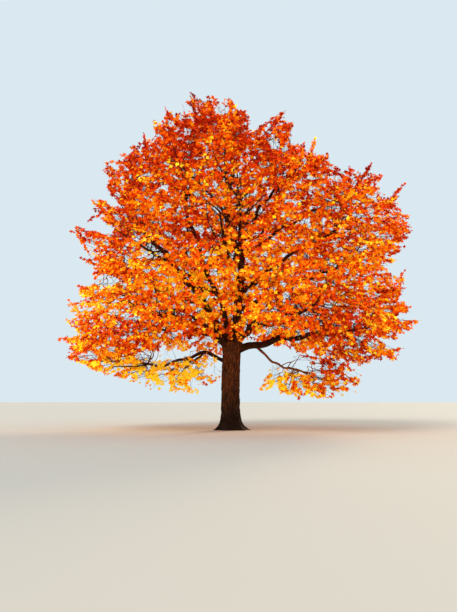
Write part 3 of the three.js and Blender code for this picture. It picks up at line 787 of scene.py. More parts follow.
def outline_map():
    """A fine map of the plane: which places lie inside the crown's outline."""
    low, high = OUTLINE.min(0) - OUTLINE_STEP, OUTLINE.max(0) + OUTLINE_STEP
    steps = [np.arange(a, b, OUTLINE_STEP) for a, b in zip(low, high)]
    x, z = np.meshgrid(*steps, indexing="ij")
    crossings = np.zeros(x.shape, int)
    for (x0, z0), (x1, z1) in zip(OUTLINE, np.roll(OUTLINE, -1, axis=0)):
        if z0 != z1:
            spans = (z < max(z0, z1)) & (z >= min(z0, z1))
            crossings += spans & (x < x0 + (z - z0) * (x1 - x0) / (z1 - z0))
    return low, crossings % 2 == 1


OUTLINE_LOW, OUTLINE_MAP = outline_map()


def in_outline(seen):
    """Which places in the plane lie inside the crown's outline."""
    cells = np.round((seen - OUTLINE_LOW) / OUTLINE_STEP).astype(int)
    cells = np.clip(cells, 0, np.array(OUTLINE_MAP.shape) - 1)
    return OUTLINE_MAP[cells[:, 0], cells[:, 1]]


def near_outline(seen, deep):
    """Which places in the plane lie less than a distance inside the crown's outline."""
    return ~in_outline(seen + unit(seen - OUTLINE.mean(0)) * deep)


def off_middles(seen, ellipses):
    """For each ellipse, how far off its middle places in the plane lie, squared: 1 on its edge."""
    return [((seen[:, 0] - x) / wide) ** 2 + ((seen[:, 1] - z) / tall) ** 2
            for x, z, wide, tall, *_ in ellipses]


def in_ellipses(seen, ellipses):
    """Which places in the plane lie in one of the ellipses."""
    return np.any([off < 1 for off in off_middles(seen, ellipses)], axis=0)


def smooth_step(value, low, high):
    t = np.clip((value - low) / (high - low), 0, 1)
    return t * t * (3 - 2 * t)


def between(values, low, high):
    return (values > low) & (values < high)


def noise_at(places):
    return np.array([noise.noise(Vector(place)) for place in places])


def flat_noise(places, layer):
    """Noise in the plane, from one of its layers."""
    return noise_at([(*place, layer) for place in places])


def at_fork(points):
    """Which points lie before the fork of the trunk."""
    return ((points[:, 1] < 0) & (np.hypot(points[:, 0], points[:, 1]) < FORK_RADIUS)
            & between(points[:, 2], *FORK_HEIGHTS))


def at_sides(points):
    """Which points lie in the thin part of the crown behind the sides of its outline."""
    return near_outline(as_seen(points), SIDE_DEEP) & (np.abs(points[:, 1]) < SIDE_THICK)


def in_thickets(points):
    return in_ellipses(as_seen(points), THICKETS) & (np.abs(points[:, 1]) < THICKET_DEEP)


def owners(points):
    """The mass in whose own part of the crown each point lies."""
    return (((points[:, None] - CENTRES) ** 2).sum(-1) - WEIGHTS**2).argmin(1)


@cache
def dark_stems():
    """The stems that stand before the leaves, as lines with their radii."""
    stems, share = [], np.linspace(0, 1, STEM_POINTS)
    for bends, depths, radii in STEMS:
        bends, knots = np.array(bends), np.linspace(0, 1, len(bends))
        seen = np.stack([np.interp(share, knots, bends[:, axis]) for axis in (0, 1)], 1)
        seen[1:-1] = (seen[:-2] + 2 * seen[1:-1] + seen[2:]) / 4
        stems.append(Wood(in_space(seen, np.interp(share, (0, 1), depths)),
                          np.interp(share, (0, 1), radii)))
    return stems


@cache
def veiled_wood():
    """The limbs that show through the leaves, as lines with their radii."""
    return [Wood(limb.line.at(VEILED_SHARES), limb.radius(VEILED_SHARES))
            for limb in (LIMBS[name] for name in VEILED_LIMBS)]


def before_wood(points, wood, width):
    """Which points hide some wood from the camera."""
    hit = np.zeros(len(points), bool)
    seen = as_seen(points)
    for lines, radii in wood:
        for place, shown, radius in zip(lines, as_seen(lines), radii):
            near = ((seen - shown) ** 2).sum(1) < (radius + width) ** 2
            hit |= near & (points[:, 1] < place[1])
    return hit


def share_kept(points):
    """Share of the leaves at some points that the photograph leaves there."""
    seen = as_seen(points)
    kept = (~near_outline(seen, -OUTLINE_EDGE)).astype(float)
    kept[in_ellipses(seen, HOLES)] *= HOLE_SHARE
    bared = flat_noise(seen / VEIL_SIZE, VEIL_LAYER) > VEIL_FROM
    kept[before_wood(points, veiled_wood(), VEIL_WIDTH) & bared] *= VEIL_SHARE
    kept[before_wood(points, dark_stems(), STEM_WIDTH)] *= STEM_SHARE
    edge = np.maximum(smooth_step(seen[:, 1], *PINHOLE_TOP),
                      smooth_step(np.abs(seen[:, 0] - PINHOLE_HEART), *PINHOLE_SIDES))
    least = PINHOLE_MIDDLE + (PINHOLE_RIM - PINHOLE_MIDDLE) * edge
    least -= PINHOLE_LOW * smooth_step(seen[:, 1], *PINHOLE_UNDER)
    grain = sum(strength * flat_noise(seen / size, layer) for strength, size, layer
                in zip(PINHOLES_MIX, (PINHOLES, PINHOLES_FINE), PINHOLE_LAYERS))
    return kept * (grain < least)


# Finer growth: branchlets and sprays


def spray_tips(spacing, rng):
    """Ends of all sprays, on a shaken grid through the masses: the place of each, its mass, how
    near the crown's rim it lies, and the heading of a spire."""
    axes = [np.arange(a, b, spacing)
            for a, b in zip(CENTRES.min(0) - GRID_MARGIN, CENTRES.max(0) + GRID_MARGIN)]
    grid = np.stack(np.meshgrid(*axes, indexing="ij"), -1).reshape(-1, 3)
    again = in_thickets(grid)
    for closer, share in ((grid[:, 2] < TWICE_BELOW, TWICE_SHARE), (at_fork(grid), FORK_TWICE),
                          (at_sides(grid), SIDE_TWICE)):
        again |= closer & (rng.random(len(grid)) < share)
    grid = np.concatenate([grid, grid[again]])
    points = grid + rng.uniform(-0.5, 0.5, grid.shape) * spacing
    seen, height, owner, fork = as_seen(points), points[:, 2], owners(points), at_fork(points)

    depth = np.array([limb.mass.depth(points) for limb in LIMBS.values()])
    in_mass = (depth[owner, np.arange(len(points))]
               <= MASS_DEPTH + THICKET_REACH * in_thickets(points))
    from_axis = np.hypot(points[:, 0] - np.interp(height, REACH_HEIGHTS, REACH_MIDDLES),
                         points[:, 1] / REACH_DEEP)
    notch = noise_at(points / NOTCH_SIZE) * np.where(at_sides(points), SIDE_NOTCH, 1)
    reach = (np.interp(height, REACH_HEIGHTS, REACH_RADII)
             * (1 - NOTCH_DEPTH * np.maximum(notch, 0)))
    in_reach = (from_axis <= reach) & between(height, REACH_HEIGHTS[0], REACH_HEIGHTS[-1])
    in_heart = ~in_mass & (fork | ((np.hypot(points[:, 0], points[:, 1]) < HEART_RADIUS)
                                   & between(height, *HEART_HEIGHTS)))
    owner[in_heart] = -1

    kept = np.where(in_heart, np.where(fork, FORK_SHARE, HEART_SHARE), 1.0)
    gap = noise_at(points / GAP_SIZE + GAP_PLACE)
    kept *= (1 - GAP_DEPTH * smooth_step(gap, *GAP_RISE)) * in_outline(seen)
    kept[in_ellipses(seen, HOLES)] *= HOLE_TIPS
    chosen = (in_mass | in_heart) & in_reach & (rng.random(len(points)) < kept)
    tips, aims = spires(rng)
    return [np.concatenate(pair) for pair in (
        (points[chosen], tips), (owner[chosen], owners(tips)),
        ((from_axis / reach)[chosen], np.zeros(len(tips))), (np.zeros((chosen.sum(), 3)), aims))]


def spires(rng):
    """Ends and headings of the sprays that fill the sharp corners of the outline."""
    tips, aims = [], []
    for before, corner, after in zip(np.roll(OUTLINE, 1, axis=0), OUTLINE,
                                     np.roll(OUTLINE, -1, axis=0)):
        first, second = unit(before - corner), unit(after - corner)
        juts = first[0] * second[1] > first[1] * second[0]
        sharp = math.acos(np.clip(first @ second, -1, 1)) < SPIRE_ANGLE
        if juts and sharp and corner[1] > SPIRE_ABOVE:
            inward = unit(first + second)
            for step in SPIRE_STEPS:
                depth = rng.uniform(-SPIRE_SPREAD, SPIRE_SPREAD, 1)
                tips.append(in_space((corner + inward * step)[None], depth)[0])
                aims.append((-inward[0], SPIRE_LEAN * depth[0], -inward[1]))
    return np.array(tips), unit(np.array(aims))


def aim_sprays(tips, rim, aims, away, look, rng):
    """Feet, headings and lengths of the sprays that end at the given tips. Some of those at
    the rim of the crown are slender and reach out of it."""
    count, height = len(tips), tips[:, 2:3]
    crown_out = unit((tips - CROWN_MIDDLE) * OUT_SHAPE + UP * OUT_RISE)
    lift = (LIFT * smooth_step(height, *LIFT_HEIGHTS) - SINK * smooth_step(height, *SINK_HEIGHTS))
    flat = 1 - (1 - LOW_FLAT) * smooth_step(height, *LOW_HEIGHTS)
    headings = unit(away + OUT_PULL * crown_out + lift * UP
                    + rng.normal(0, HEADING_SHAKE, (count, 3)))
    headings = unit(headings * np.where(UP, flat, 1))
    lengths = look.spray_length * rng.uniform(*SPRAY_SIZES, count)
    slender = (rim > RIM_FROM) & (rng.random(count) < RIM_SHARE)
    outer = unit(headings + SLENDER_OUT * crown_out)
    headings = np.where(slender[:, None], outer, headings)
    aimed = aims.any(1)
    headings = np.where(aimed[:, None], unit(aims + SPIRE_SHAKE * headings), headings)
    shorter = lengths * np.where(slender, SLENDER_LENGTH, 1)
    longer = lengths + slender * RIM_REACH
    feet = tips - headings * shorter[:, None]
    fits = in_outline(as_seen(feet + headings * longer[:, None]))
    widths = np.where(aimed, SPIRE_SLENDER, np.where(slender, RIM_SLENDER, 1))
    return Sprays(feet, headings, np.where(fits, longer, shorter), tips, widths, aimed)


def grow_heart(tips, rim, aims, look, rng):
    """Branchlets that leave the boughs in the heart of the crown, and their sprays."""
    nodes = [point for limb in LIMBS.values() for point in limb.line.at(HEART_NODES)]
    least = [HEART_THIN * limb.radius(t) for limb in LIMBS.values() for t in HEART_NODES]
    gaps = np.linalg.norm(tips[:, None] - np.array(nodes), axis=2)
    clear = gaps.min(1) > HEART_NEAR_LIMB
    tips, nearest = tips[clear], np.array(nodes)[gaps.argmin(1)][clear]
    sprays = aim_sprays(tips, rim[clear], aims[clear], unit(tips - nearest), look, rng)
    return branch_out(nodes, [-1] * len(nodes), least, [], sprays, nearest, look, rng)


def grow_mass(limb, tips, rim, aims, look, rng):
    """A mass's wood, from its stem to the foot of each spray, and its sprays."""
    start, run, stem = grow_stem(limb)
    twigs = grow_first_twigs(limb, start, run, stem)
    near = np.clip((tips - start) @ run / (run @ run) - AIM_LEAD, *AIM_SHARES)
    nearest = curve_at(near[:, None], *stem)
    sprays = aim_sprays(tips, rim, aims, unit(tips - nearest), look, rng)

    nodes = [*curve_at(np.linspace(0, 1, STEM_POINTS)[:, None], *stem)]
    parent = [*range(-1, STEM_POINTS - 1)]
    least = [*np.linspace(STEM_FOOT_SHARE * limb.radius(1), STEM_END_RADIUS, STEM_POINTS)]
    strands = [[*range(STEM_POINTS)]]
    for fork, tip in twigs:
        first = int(np.argmin([np.linalg.norm(n - fork) for n in nodes[:STEM_POINTS]]))
        shares = np.linspace(0, 1, TWIG_POINTS)[1:, None]
        extend(nodes, parent, least, strands, first,
               nodes[first] + (tip - nodes[first]) * shares, TWIG_END_RADIUS)
    return branch_out(nodes, parent, least, strands, sprays, nearest, look, rng)


def extend(nodes, parent, least, strands, joined, way, radius=0.0):
    """Adds a strand of wood from a node along a way. Returns its last node."""
    strand = [joined]
    for point in way:
        nodes.append(point)
        parent.append(strand[-1])
        least.append(radius)
        strand.append(len(nodes) - 1)
    strands.append(strand)
    return strand[-1]


def way_between(start, foot, heading, sag):
    """Three points along the wood from a node to the foot of a spray, which it runs into."""
    span = np.linalg.norm(foot - start)
    bend = foot - heading * WAY_BEND * span
    return curve_at(WAY_SHARES, start, bend, foot) + sag * span * (WAY_SHARES < 1)


def find_way(here, sprays, i, sag):
    """The node that a spray joins, and the way to it: the cheapest of the nearest ones that
    keeps inside the outline, clear of its edge and of the holes if there is one."""
    foot, heading = sprays.feet[i], sprays.headings[i]
    gap = foot - here
    distance = np.linalg.norm(gap, axis=1) + SMALL
    cost = distance * (DETOUR - (DETOUR - 1) * (gap @ heading / distance))
    found = None
    for joined in np.argsort(cost)[:WAYS_TRIED]:
        way = way_between(here[joined], foot, heading, sag)
        seen = as_seen(way)
        if in_outline(seen).all():
            bare = near_outline(seen[:2], WAY_DEEP) | in_ellipses(seen[:2], HOLES)
            if distance[joined] < SHORT_WAY or not bare.any():
                return int(joined), way, distance[joined]
            found = found or (int(joined), way, distance[joined])
    return found if found and found[2] <= LONG_WAY else None


def branch_out(nodes, parent, least, strands, sprays, nearest, look, rng):
    """Joins the foot of each spray to the wood that is nearest to it, and thickens all wood.
    A spray whose wood would stand bare outside the crown's outline is left out."""
    feet, headings = sprays.feet, sprays.headings
    ends = np.full(len(feet), -1)
    covers = []
    for i in np.argsort(np.linalg.norm(feet - nearest, axis=1)):
        sag = rng.normal(0, WAY_SHAKE, (3, 3))
        shoot = feet[i] + headings[i] * sprays.lengths[i] * SHOOT_TESTS
        if near_outline(as_seen(shoot), -SHOOT_SLACK).any() and not sprays.free[i]:
            continue
        found = find_way(np.array(nodes), sprays, i, sag)
        if not found:
            continue
        joined, way, span = found
        start = nodes[joined]
        ends[i] = extend(nodes, parent, least, strands, joined, way)
        if feet[i, 2] < CHAIN_BELOW:
            fork = feet[i] + headings[i] * CHAIN_FORK * sprays.lengths[i]
            extend(nodes, parent, least, strands, ends[i], [fork])
        if span > BARE_LENGTH and near_outline(as_seen(way), BARE_DEEP).any():
            covers.append((ends[i], start, (feet[i] - start) / span, span, feet[i], RIM_SLENDER,
                           False))

    # Only wood that bears leaves is loaded, and only loaded wood is kept
    grown = ends >= 0
    growth = grow_sprays(Sprays(*[values[grown] for values in sprays]), look, rng)
    load = np.zeros(len(nodes))
    load[ends[grown][growth.bears]] = 1
    for child in range(len(nodes) - 1, 0, -1):
        if parent[child] >= 0:
            load[parent[child]] += load[child]
    covers = [cover for end, *cover in covers if load[end]]
    if covers:
        more = grow_sprays(Sprays(*[np.array(values) for values in zip(*covers)]), look, rng)
        growth = joined_growth([growth, more])
    radius = np.maximum(look.shoot_radius * np.maximum(load, 1) ** THICKENING, least)
    for child in range(1, len(nodes)):
        if parent[child] >= 0:
            radius[child] = min(radius[child], radius[parent[child]])
    nodes, wood = np.array(nodes), []
    for strand in strands:
        bearing = [node for node in strand if load[node]]
        if len(bearing) > 1:
            thick = radius[bearing]
            thick[0] = min(thick[0], thick[1] * FORK_SWELL)
            wood.append(Wood(nodes[bearing], thick))
    return wood, growth


def rotated(vectors, axes, angles):
    """Vectors turned about unit axes that they are square to."""
    return (vectors * np.cos(angles)[..., None]
            + np.cross(axes, vectors) * np.sin(angles)[..., None])


def joined_growth(growths):
    """Several growths as one."""
    return Growth(*[np.concatenate(values) for values in zip(*growths)])


def grow_sprays(sprays, look, rng):
    """Shoots and leaves of some sprays, as the photograph leaves them. A shoot ends at its last
    leaf, and a bare one is left out."""
    feet, headings, lengths, tips, widths, free = sprays
    count = len(feet)
    over = np.cross(unit(np.cross(headings, UP) + TINY), headings)
    over = rotated(over, headings, rng.normal(0, SPRAY_ROLL, count))
    droop = SPRAY_DROOP * rng.uniform(*DROOP_VARIES, count)

    def slots(ends, number, lead):
        """Places of leaves along shoots, evenly spread and a little shaken, and one at the tip."""
        even = np.broadcast_to(np.linspace(*ends, number), (*lead, number))
        shaken = even + rng.uniform(-SLOT_SHAKE, SLOT_SHAKE, even.shape)
        return np.concatenate([shaken, np.ones((*lead, 1))], -1)

    def main_at(shares):
        """Places along the main shoots, for rows of shares."""
        s = shares[..., None]
        foot, heading, reach, bow = [values.reshape(count, 1, -1)
                                     for values in (feet, headings, lengths, droop)]
        return foot + reach * (heading * s + UP * bow * (s - s * s))

    def side_at(shares):
        """Places along the side shoots, for rows of shares a shoot."""
        s = shares[..., None]
        return (side_roots[:, :, None] + side_reach[..., None, None]
                * (toward[:, :, None] * s - UP * SHOOT_DROOP * s * s))

    # Side shoots leave to the left and right in turn, shorter toward the tip
    shape = (count, SIDE_SHOOTS)
    starts = np.linspace(*SHOOT_FORKS, SIDE_SHOOTS) + rng.uniform(-FORK_SHAKE, FORK_SHAKE, shape)
    hand = np.where(np.arange(SIDE_SHOOTS) % 2, 1, -1) * rng.choice((-1, 1), (count, 1))
    angle = (SHOOT_ANGLE + SHOOT_ANGLE_VARIES * rng.normal(0, 1, shape)) * hand
    side_reach = (lengths * widths)[:, None] * (SHOOT_LONG + (SHOOT_SHORT - SHOOT_LONG) * starts)
    side_reach = side_reach * rng.uniform(*SHOOT_SIZES, shape)
    toward = rotated(np.broadcast_to(headings[:, None], (*shape, 3)), over[:, None], angle)
    toward = unit(toward + rng.normal(0, SHOOT_SHAKE, (*shape, 3)))
    side_roots = main_at(starts)

    # Leaves left and right in turn, and one at each tip that goes straight on
    on_main = slots(MAIN_SLOTS, LEAVES_ON_MAIN, (count,))
    on_side = slots(SIDE_SLOTS, LEAVES_ON_SIDE, shape)
    turn = np.concatenate([
        np.append(np.where(np.arange(number) % 2, 1.0, -1.0), 0.0)
        for number in (LEAVES_ON_MAIN, *[LEAVES_ON_SIDE] * SIDE_SHOOTS)])
    roots = np.concatenate([main_at(on_main), side_at(on_side).reshape(count, -1, 3)], 1)
    heading = np.concatenate([
        np.broadcast_to(headings[:, None], (*on_main.shape, 3)),
        np.broadcast_to(toward[:, :, None], (*on_side.shape, 3)).reshape(count, -1, 3)], 1)
    planes = np.broadcast_to(over[:, None], roots.shape)
    leaves = roots.shape[:2]
    fan = (LEAF_FAN + LEAF_FAN_VARIES * rng.normal(0, 1, leaves)) * turn
    pointing = rotated(heading, planes, fan) + rng.normal(0, LEAF_SHAKE, roots.shape)
    pointing = unit(pointing - UP * rng.uniform(0, LEAF_DROOP, leaves)[..., None])
    sizes = look.leaf_length * rng.uniform(*LEAF_SIZES, leaves)
    middle = roots + pointing * sizes[..., None] / 2
    kept = np.where(free[:, None], 1.0, share_kept(middle.reshape(-1, 3)).reshape(leaves))
    kept = rng.random(leaves) < LEAF_KEPT * kept

    # Each shoot ends at its last leaf or side shoot
    side_end = (on_side * kept[:, LEAVES_ON_MAIN + 1:].reshape(on_side.shape)).max(2)
    main_end = np.maximum((on_main * kept[:, :LEAVES_ON_MAIN + 1]).max(1),
                          (starts * (side_end > 0)).max(1))
    bears = main_end > 0
    mains = main_at(main_end[:, None] * np.linspace(0, 1, MAIN_POINTS))[bears]
    sides = side_at(side_end[..., None] * np.array([0.0, 1.0]))[side_end > 0]
    tone = np.broadcast_to(tones(tips, rng)[:, None], leaves)
    return Growth(bears, mains, sides, *[values[kept] for values in (
        roots, pointing, planes, sizes, tone)])


def tones(tips, rng):
    """Where each spray's colour lies from darkest, 0, to lightest, 1."""
    height = tips[:, 2]
    drift = sum(strength * noise_at([Vector(tip) * pitch + Vector(place) for tip in tips])
                for strength, pitch, place in DRIFTS)
    tone = TONE - TONE_FALL * (height - TONE_HEIGHT) + TONE_DRIFT * drift
    depth = np.linalg.norm((tips - CROWN_MIDDLE) / CROWN_SIZE, axis=1)
    tone += HEART_TONE * smooth_step(depth, *HEART_DEPTHS)
    # Patches of the leaves' own tints and of painted shadow and painted light
    for off, (*_, shift) in zip(off_middles(as_seen(tips), TINT_AND_PAINTED_LIGHT_PATCHES), TINT_AND_PAINTED_LIGHT_PATCHES):
        tone += shift * np.exp(-SHADE_FADE * off)
    shake = TONE_SHAKE + LOW_TONE_SHAKE * smooth_step(height, *LOW_TONE_HEIGHTS)
    return tone + rng.normal(0, 1, len(tips)) * shake


_crown = {}


def crown(look):
    """All finer growth by tier: the limb, its wood and what grows on that. It is worked out
    once and shared by twigs and leaves."""
    if not _crown:
        rng = np.random.default_rng(SPRAY_SEED)
        tips, owner, rim, aims = spray_tips(look.spray_spacing, rng)
        for index, limb in [*enumerate(LIMBS.values()), (-1, None)]:
            mine = owner == index
            own = tips[mine], rim[mine], aims[mine], look, rng
            wood, growth = grow_mass(limb, *own) if limb else grow_heart(*own)
            if limb is None:
                wood += dark_stems()
            _crown.setdefault(limb.row.tier if limb else "inner", []).append((limb, wood, growth))
    return _crown


# Meshes from arrays


def turns_of(sides):
    return np.arange(sides) * FULL_TURN / sides


def tubes(lines, radii, sides):
    """Closed tubes of one number of sides: corners, and quads and end faces."""
    along = unit(np.gradient(lines, axis=1))
    steep = np.abs(along[:, :, 2]).mean(1) > STEEP
    rest = np.where(steep[:, None], RIGHT, UP)
    across = unit(np.cross(along, rest[:, None]))
    over = np.cross(across, along)
    turn = turns_of(sides)[:, None]
    ring = across[:, :, None] * np.cos(turn) + over[:, :, None] * np.sin(turn)
    corners = lines[:, :, None] + radii[:, :, None, None] * ring
    number = np.arange(corners.size // 3).reshape(corners.shape[:3])
    beside = np.roll(number, -1, axis=2)
    quads = np.stack([number[:, :-1], number[:, 1:], beside[:, 1:], beside[:, :-1]], -1)
    ends = np.concatenate([number[:, 0], number[:, -1, ::-1]])
    return corners.reshape(-1, 3), quads.reshape(-1, 4), ends


def mesh_of(name, parts, materials, picks=None, smooth=True):
    """An object of corners and faces, given as parts that each have their own corners."""
    corners = np.concatenate([part[0] for part in parts])
    loops, sizes, start = [], [], 0
    for part in parts:
        for faces in part[1:]:
            loops.append((faces + start).ravel())
            sizes.append(np.full(len(faces), faces.shape[1]))
        start += len(part[0])
    loops, sizes = np.concatenate(loops), np.concatenate(sizes)
    mesh = bpy.data.meshes.new(name)
    for layer, number, values, attribute in (
            (mesh.vertices, len(corners), corners.astype(np.float32), "co"),
            (mesh.loops, len(loops), loops.astype(np.int32), "vertex_index"),
            (mesh.polygons, len(sizes), (np.cumsum(sizes) - sizes).astype(np.int32),
             "loop_start")):
        layer.add(number)
        layer.foreach_set(attribute, values.ravel())
    for material in materials:
        mesh.materials.append(material)
    if picks is not None:
        mesh.polygons.foreach_set("material_index", picks.astype(np.int32))
    mesh.polygons.foreach_set("use_smooth", np.full(len(sizes), smooth))
    mesh.update(calc_edges=True)
    mesh.validate()
    piece = bpy.data.objects.new(name, mesh)
    bpy.context.scene.collection.objects.link(piece)
    return piece


# Materials


def add_node(tree, kind, settings=None, **inputs):
    """A node with its settings and its inputs, each a value or another node's output. _6 stands
    for input 6, where several inputs have one name."""
    node = tree.nodes.new(kind)
    for name, value in (settings or {}).items():
        setattr(node, name, value)
    for name, value in inputs.items():
        socket = node.inputs[int(name[1:]) if name[1:].isdigit() else name.replace("_", " ")]
        if isinstance(value, bpy.types.NodeSocket):
            tree.links.new(value, socket)
        else:
            socket.default_value = value
    return node


def new_material(name):
    material = bpy.data.materials.new(name)
    material.use_nodes = True
    material.node_tree.nodes.clear()
    return material, material.node_tree


def opaque(colour):
    return (*colour, 1.0)


def bark_material(name, look, foot_shade, top_shade):
    """Maple bark, grown in long scaly ridges: rough, matt and dark in its furrows, with the cork's
    own colour and with painted shade. The shades scale its colour at its foot and from two metres
    up: the trunk is darker toward its foot, and on the boughs they are painted shade and light."""
    material, tree = new_material(name)
    run = add_node(tree, "ShaderNodeAttribute", {"attribute_name": "bark_run"})
    width = look.plate_width
    stretched = add_node(tree, "ShaderNodeMapping", Vector=run.outputs["Vector"],
                         Scale=(1 / width, 1 / width, RIDGE_RUN / width))
    # Ridges a plate wide that run on along the limb
    ridges = add_node(tree, "ShaderNodeTexNoise", {"noise_dimensions": "3D"},
                      Vector=stretched.outputs[0], Scale=1.0, Detail=5.0, Roughness=0.62)
    # Cross cracks that part a ridge into scales
    cracks = add_node(tree, "ShaderNodeTexVoronoi", {"feature": "DISTANCE_TO_EDGE"},
                      Vector=stretched.outputs[0], Scale=SCALES)
    # Grey lichen and weathering in patches about 0.1 m wide
    patches = add_node(tree, "ShaderNodeTexNoise", Vector=run.outputs["Vector"],
                       Scale=LICHEN_PATCHES, Detail=3.0, Roughness=0.6)
    lift = add_node(tree, "ShaderNodeMapRange", Value=ridges.outputs[0], From_Min=0.36,
                    From_Max=0.64)
    edge = add_node(tree, "ShaderNodeMapRange", Value=cracks.outputs["Distance"], From_Min=0.0,
                    From_Max=0.16)
    height = add_node(tree, "ShaderNodeMath", {"operation": "MULTIPLY"},
                      _0=lift.outputs[0], _1=edge.outputs[0])
    # Furrows and cracks take the furrow colour: the cork's own dark brown, deepened by painted shade
    ramp = add_node(tree, "ShaderNodeMix", {"data_type": "RGBA"},
                    _0=height.outputs[0], _6=opaque(look.furrow), _7=opaque(look.ridge))
    grey = add_node(tree, "ShaderNodeMapRange", Value=patches.outputs[0], From_Min=0.5,
                    From_Max=0.75, To_Max=0.18)
    colour = add_node(tree, "ShaderNodeMix", {"data_type": "RGBA"},
                      _0=grey.outputs[0], _6=ramp.outputs[2], _7=opaque(linear("#7A6A5C")))
    # Scaled by height from the shade at the foot to that at the top: the trunk darker toward its foot
    # and its own brown toward the fork, the boughs darkened with painted shade, and the hanging
    # boughs lightened with painted light
    place = add_node(tree, "ShaderNodeSeparateXYZ", Vector=run.outputs["Vector"])
    dry = add_node(tree, "ShaderNodeMapRange", {"interpolation_type": "SMOOTHSTEP"},
                   Value=place.outputs["Z"], From_Min=FOOT_TO_TOP_HEIGHTS[0],
                   From_Max=FOOT_TO_TOP_HEIGHTS[1], To_Min=foot_shade, To_Max=top_shade)
    colour = add_node(tree, "ShaderNodeMix", {"data_type": "RGBA", "blend_type": "MULTIPLY"},
                      _0=1.0, _6=colour.outputs[2], _7=dry.outputs[0])
    bump = add_node(tree, "ShaderNodeBump", Strength=0.8, Distance=12 * MM,
                    Height=height.outputs[0])
    shader = add_node(tree, "ShaderNodeBsdfPrincipled", Base_Color=colour.outputs[2],
                      Roughness=0.92, Specular_IOR_Level=0.2, Normal=bump.outputs[0])
    add_node(tree, "ShaderNodeOutputMaterial", Surface=shader.outputs[0])
    return material


def plain_material(name, colour, roughness, specular, glow=0.0):
    material, tree = new_material(name)
    # A glow is painted light: the surface gives off its own colour, though it is no lamp
    lit = {"Emission_Color": opaque(colour), "Emission_Strength": glow} if glow else {}
    shader = add_node(tree, "ShaderNodeBsdfPrincipled", Base_Color=opaque(colour),
                      Roughness=roughness, Specular_IOR_Level=specular, **lit)
    add_node(tree, "ShaderNodeOutputMaterial", Surface=shader.outputs[0])
    return material


# Trunk and boughs


def relief(place, pitch):
    """Height of the bark, from furrow to ridge, at a place along and round a limb."""
    point = Vector(place / pitch)
    drift = [noise.noise(point * BEND_PITCH + Vector(shift)) for shift in BEND_PLACES]
    bent = point + RIDGE_BEND * Vector((*drift, 0))
    ridge = 1 - RIDGE_SHARP * abs(noise.noise(bent))
    return ridge + SCALE_RELIEF * noise.noise(bent * SCALE_PITCH)


def barked(line, share, radii, depths, look, level=False):
    """A closed limb of bark: rings of given radii and depths of relief at shares of its line.
    With it come its corners' places along and round it, which the bark's pattern reads. The
    rings of a level one lie flat, and it stands on the ground."""
    centres, angle = line.at(share), turns_of(radii.shape[1])
    if level:
        along, across = np.broadcast_to(UP, centres.shape), np.broadcast_to(RIGHT, centres.shape)
    else:
        along = tangent_at(line, share, RING_STEP)
        across = unit(line.side - (along @ line.side)[:, None] * along)
    over = np.cross(along, across)
    lengths = np.concatenate([[0], np.cumsum(np.linalg.norm(np.diff(centres, axis=0), axis=1))])
    run = np.stack([np.cos(angle) * radii, np.sin(angle) * radii,
                    np.broadcast_to(lengths[:, None], radii.shape)], -1)
    pitch = look.plate_width * RIDGE_WIDTH * np.array([1, 1, RIDGE_LENGTH])
    heights = [relief(place, pitch) for place in run.reshape(-1, 3)]
    reach = radii + depths * np.reshape(heights, radii.shape)
    round_line = (np.cos(angle)[:, None] * across[:, None]
                  + np.sin(angle)[:, None] * over[:, None])
    corners = centres[:, None] + reach[..., None] * round_line
    if level:
        corners[0, :, 2] = 0
        ends = corners[0].mean(0), corners[-1].mean(0) + UP * CROWN_OF_TRUNK
        top = TRUNK_HEIGHT
    else:
        ends, top = line.at([0, 1]), lengths[-1]

    number = np.arange(radii.size).reshape(radii.shape)
    beside = np.roll(number, -1, axis=1)
    quads = np.stack([number[:-1], beside[:-1], beside[1:], number[1:]], -1).reshape(-1, 4)
    fans = np.concatenate([
        np.stack([np.full_like(number[0], number.size), beside[0], number[0]], 1),
        np.stack([np.full_like(number[0], number.size + 1), number[-1], beside[-1]], 1)])
    part = np.concatenate([corners.reshape(-1, 3), ends]), quads, fans
    return part, np.concatenate([run.reshape(-1, 3), [(0, 0, 0), (0, 0, top)]])


def bark_piece(name, limbs, materials, picks=None):
    parts, runs = zip(*limbs)
    piece = mesh_of(name, parts, materials, picks)
    attribute = piece.data.attributes.new("bark_run", "FLOAT_VECTOR", "POINT")
    attribute.data.foreach_set("vector", np.concatenate(runs).astype(np.float32).ravel())
    return piece


class MAPLE_OT_trunk(bpy.types.Operator):
    """Trunk with its root flare and ridged bark"""

    bl_idname = "maple.trunk"
    bl_label = "Trunk"

    def execute(self, context):
        look = context.scene.maple.bark
        share = np.linspace(0, 1, TRUNK_RINGS)[:, None] ** RING_CROWDING
        radii = trunk_radius(share * TRUNK_HEIGHT, turns_of(context.scene.maple.trunk_sides))
        fade = FOOT_RELIEF + (1 - FOOT_RELIEF) * smooth_step(share, 0, FOOT_RELIEF_TO)
        limb = barked(TrunkLine(), share[:, 0], radii, look.plate_depth * fade, look, level=True)
        piece = bark_piece("trunk_bark", [limb], [
            bark_material("maple bark in long scaly ridges", look, foot_shade=0.12,
                          top_shade=1.0)])
        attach(piece, "root")
        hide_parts("trunk")
        return {"FINISHED"}


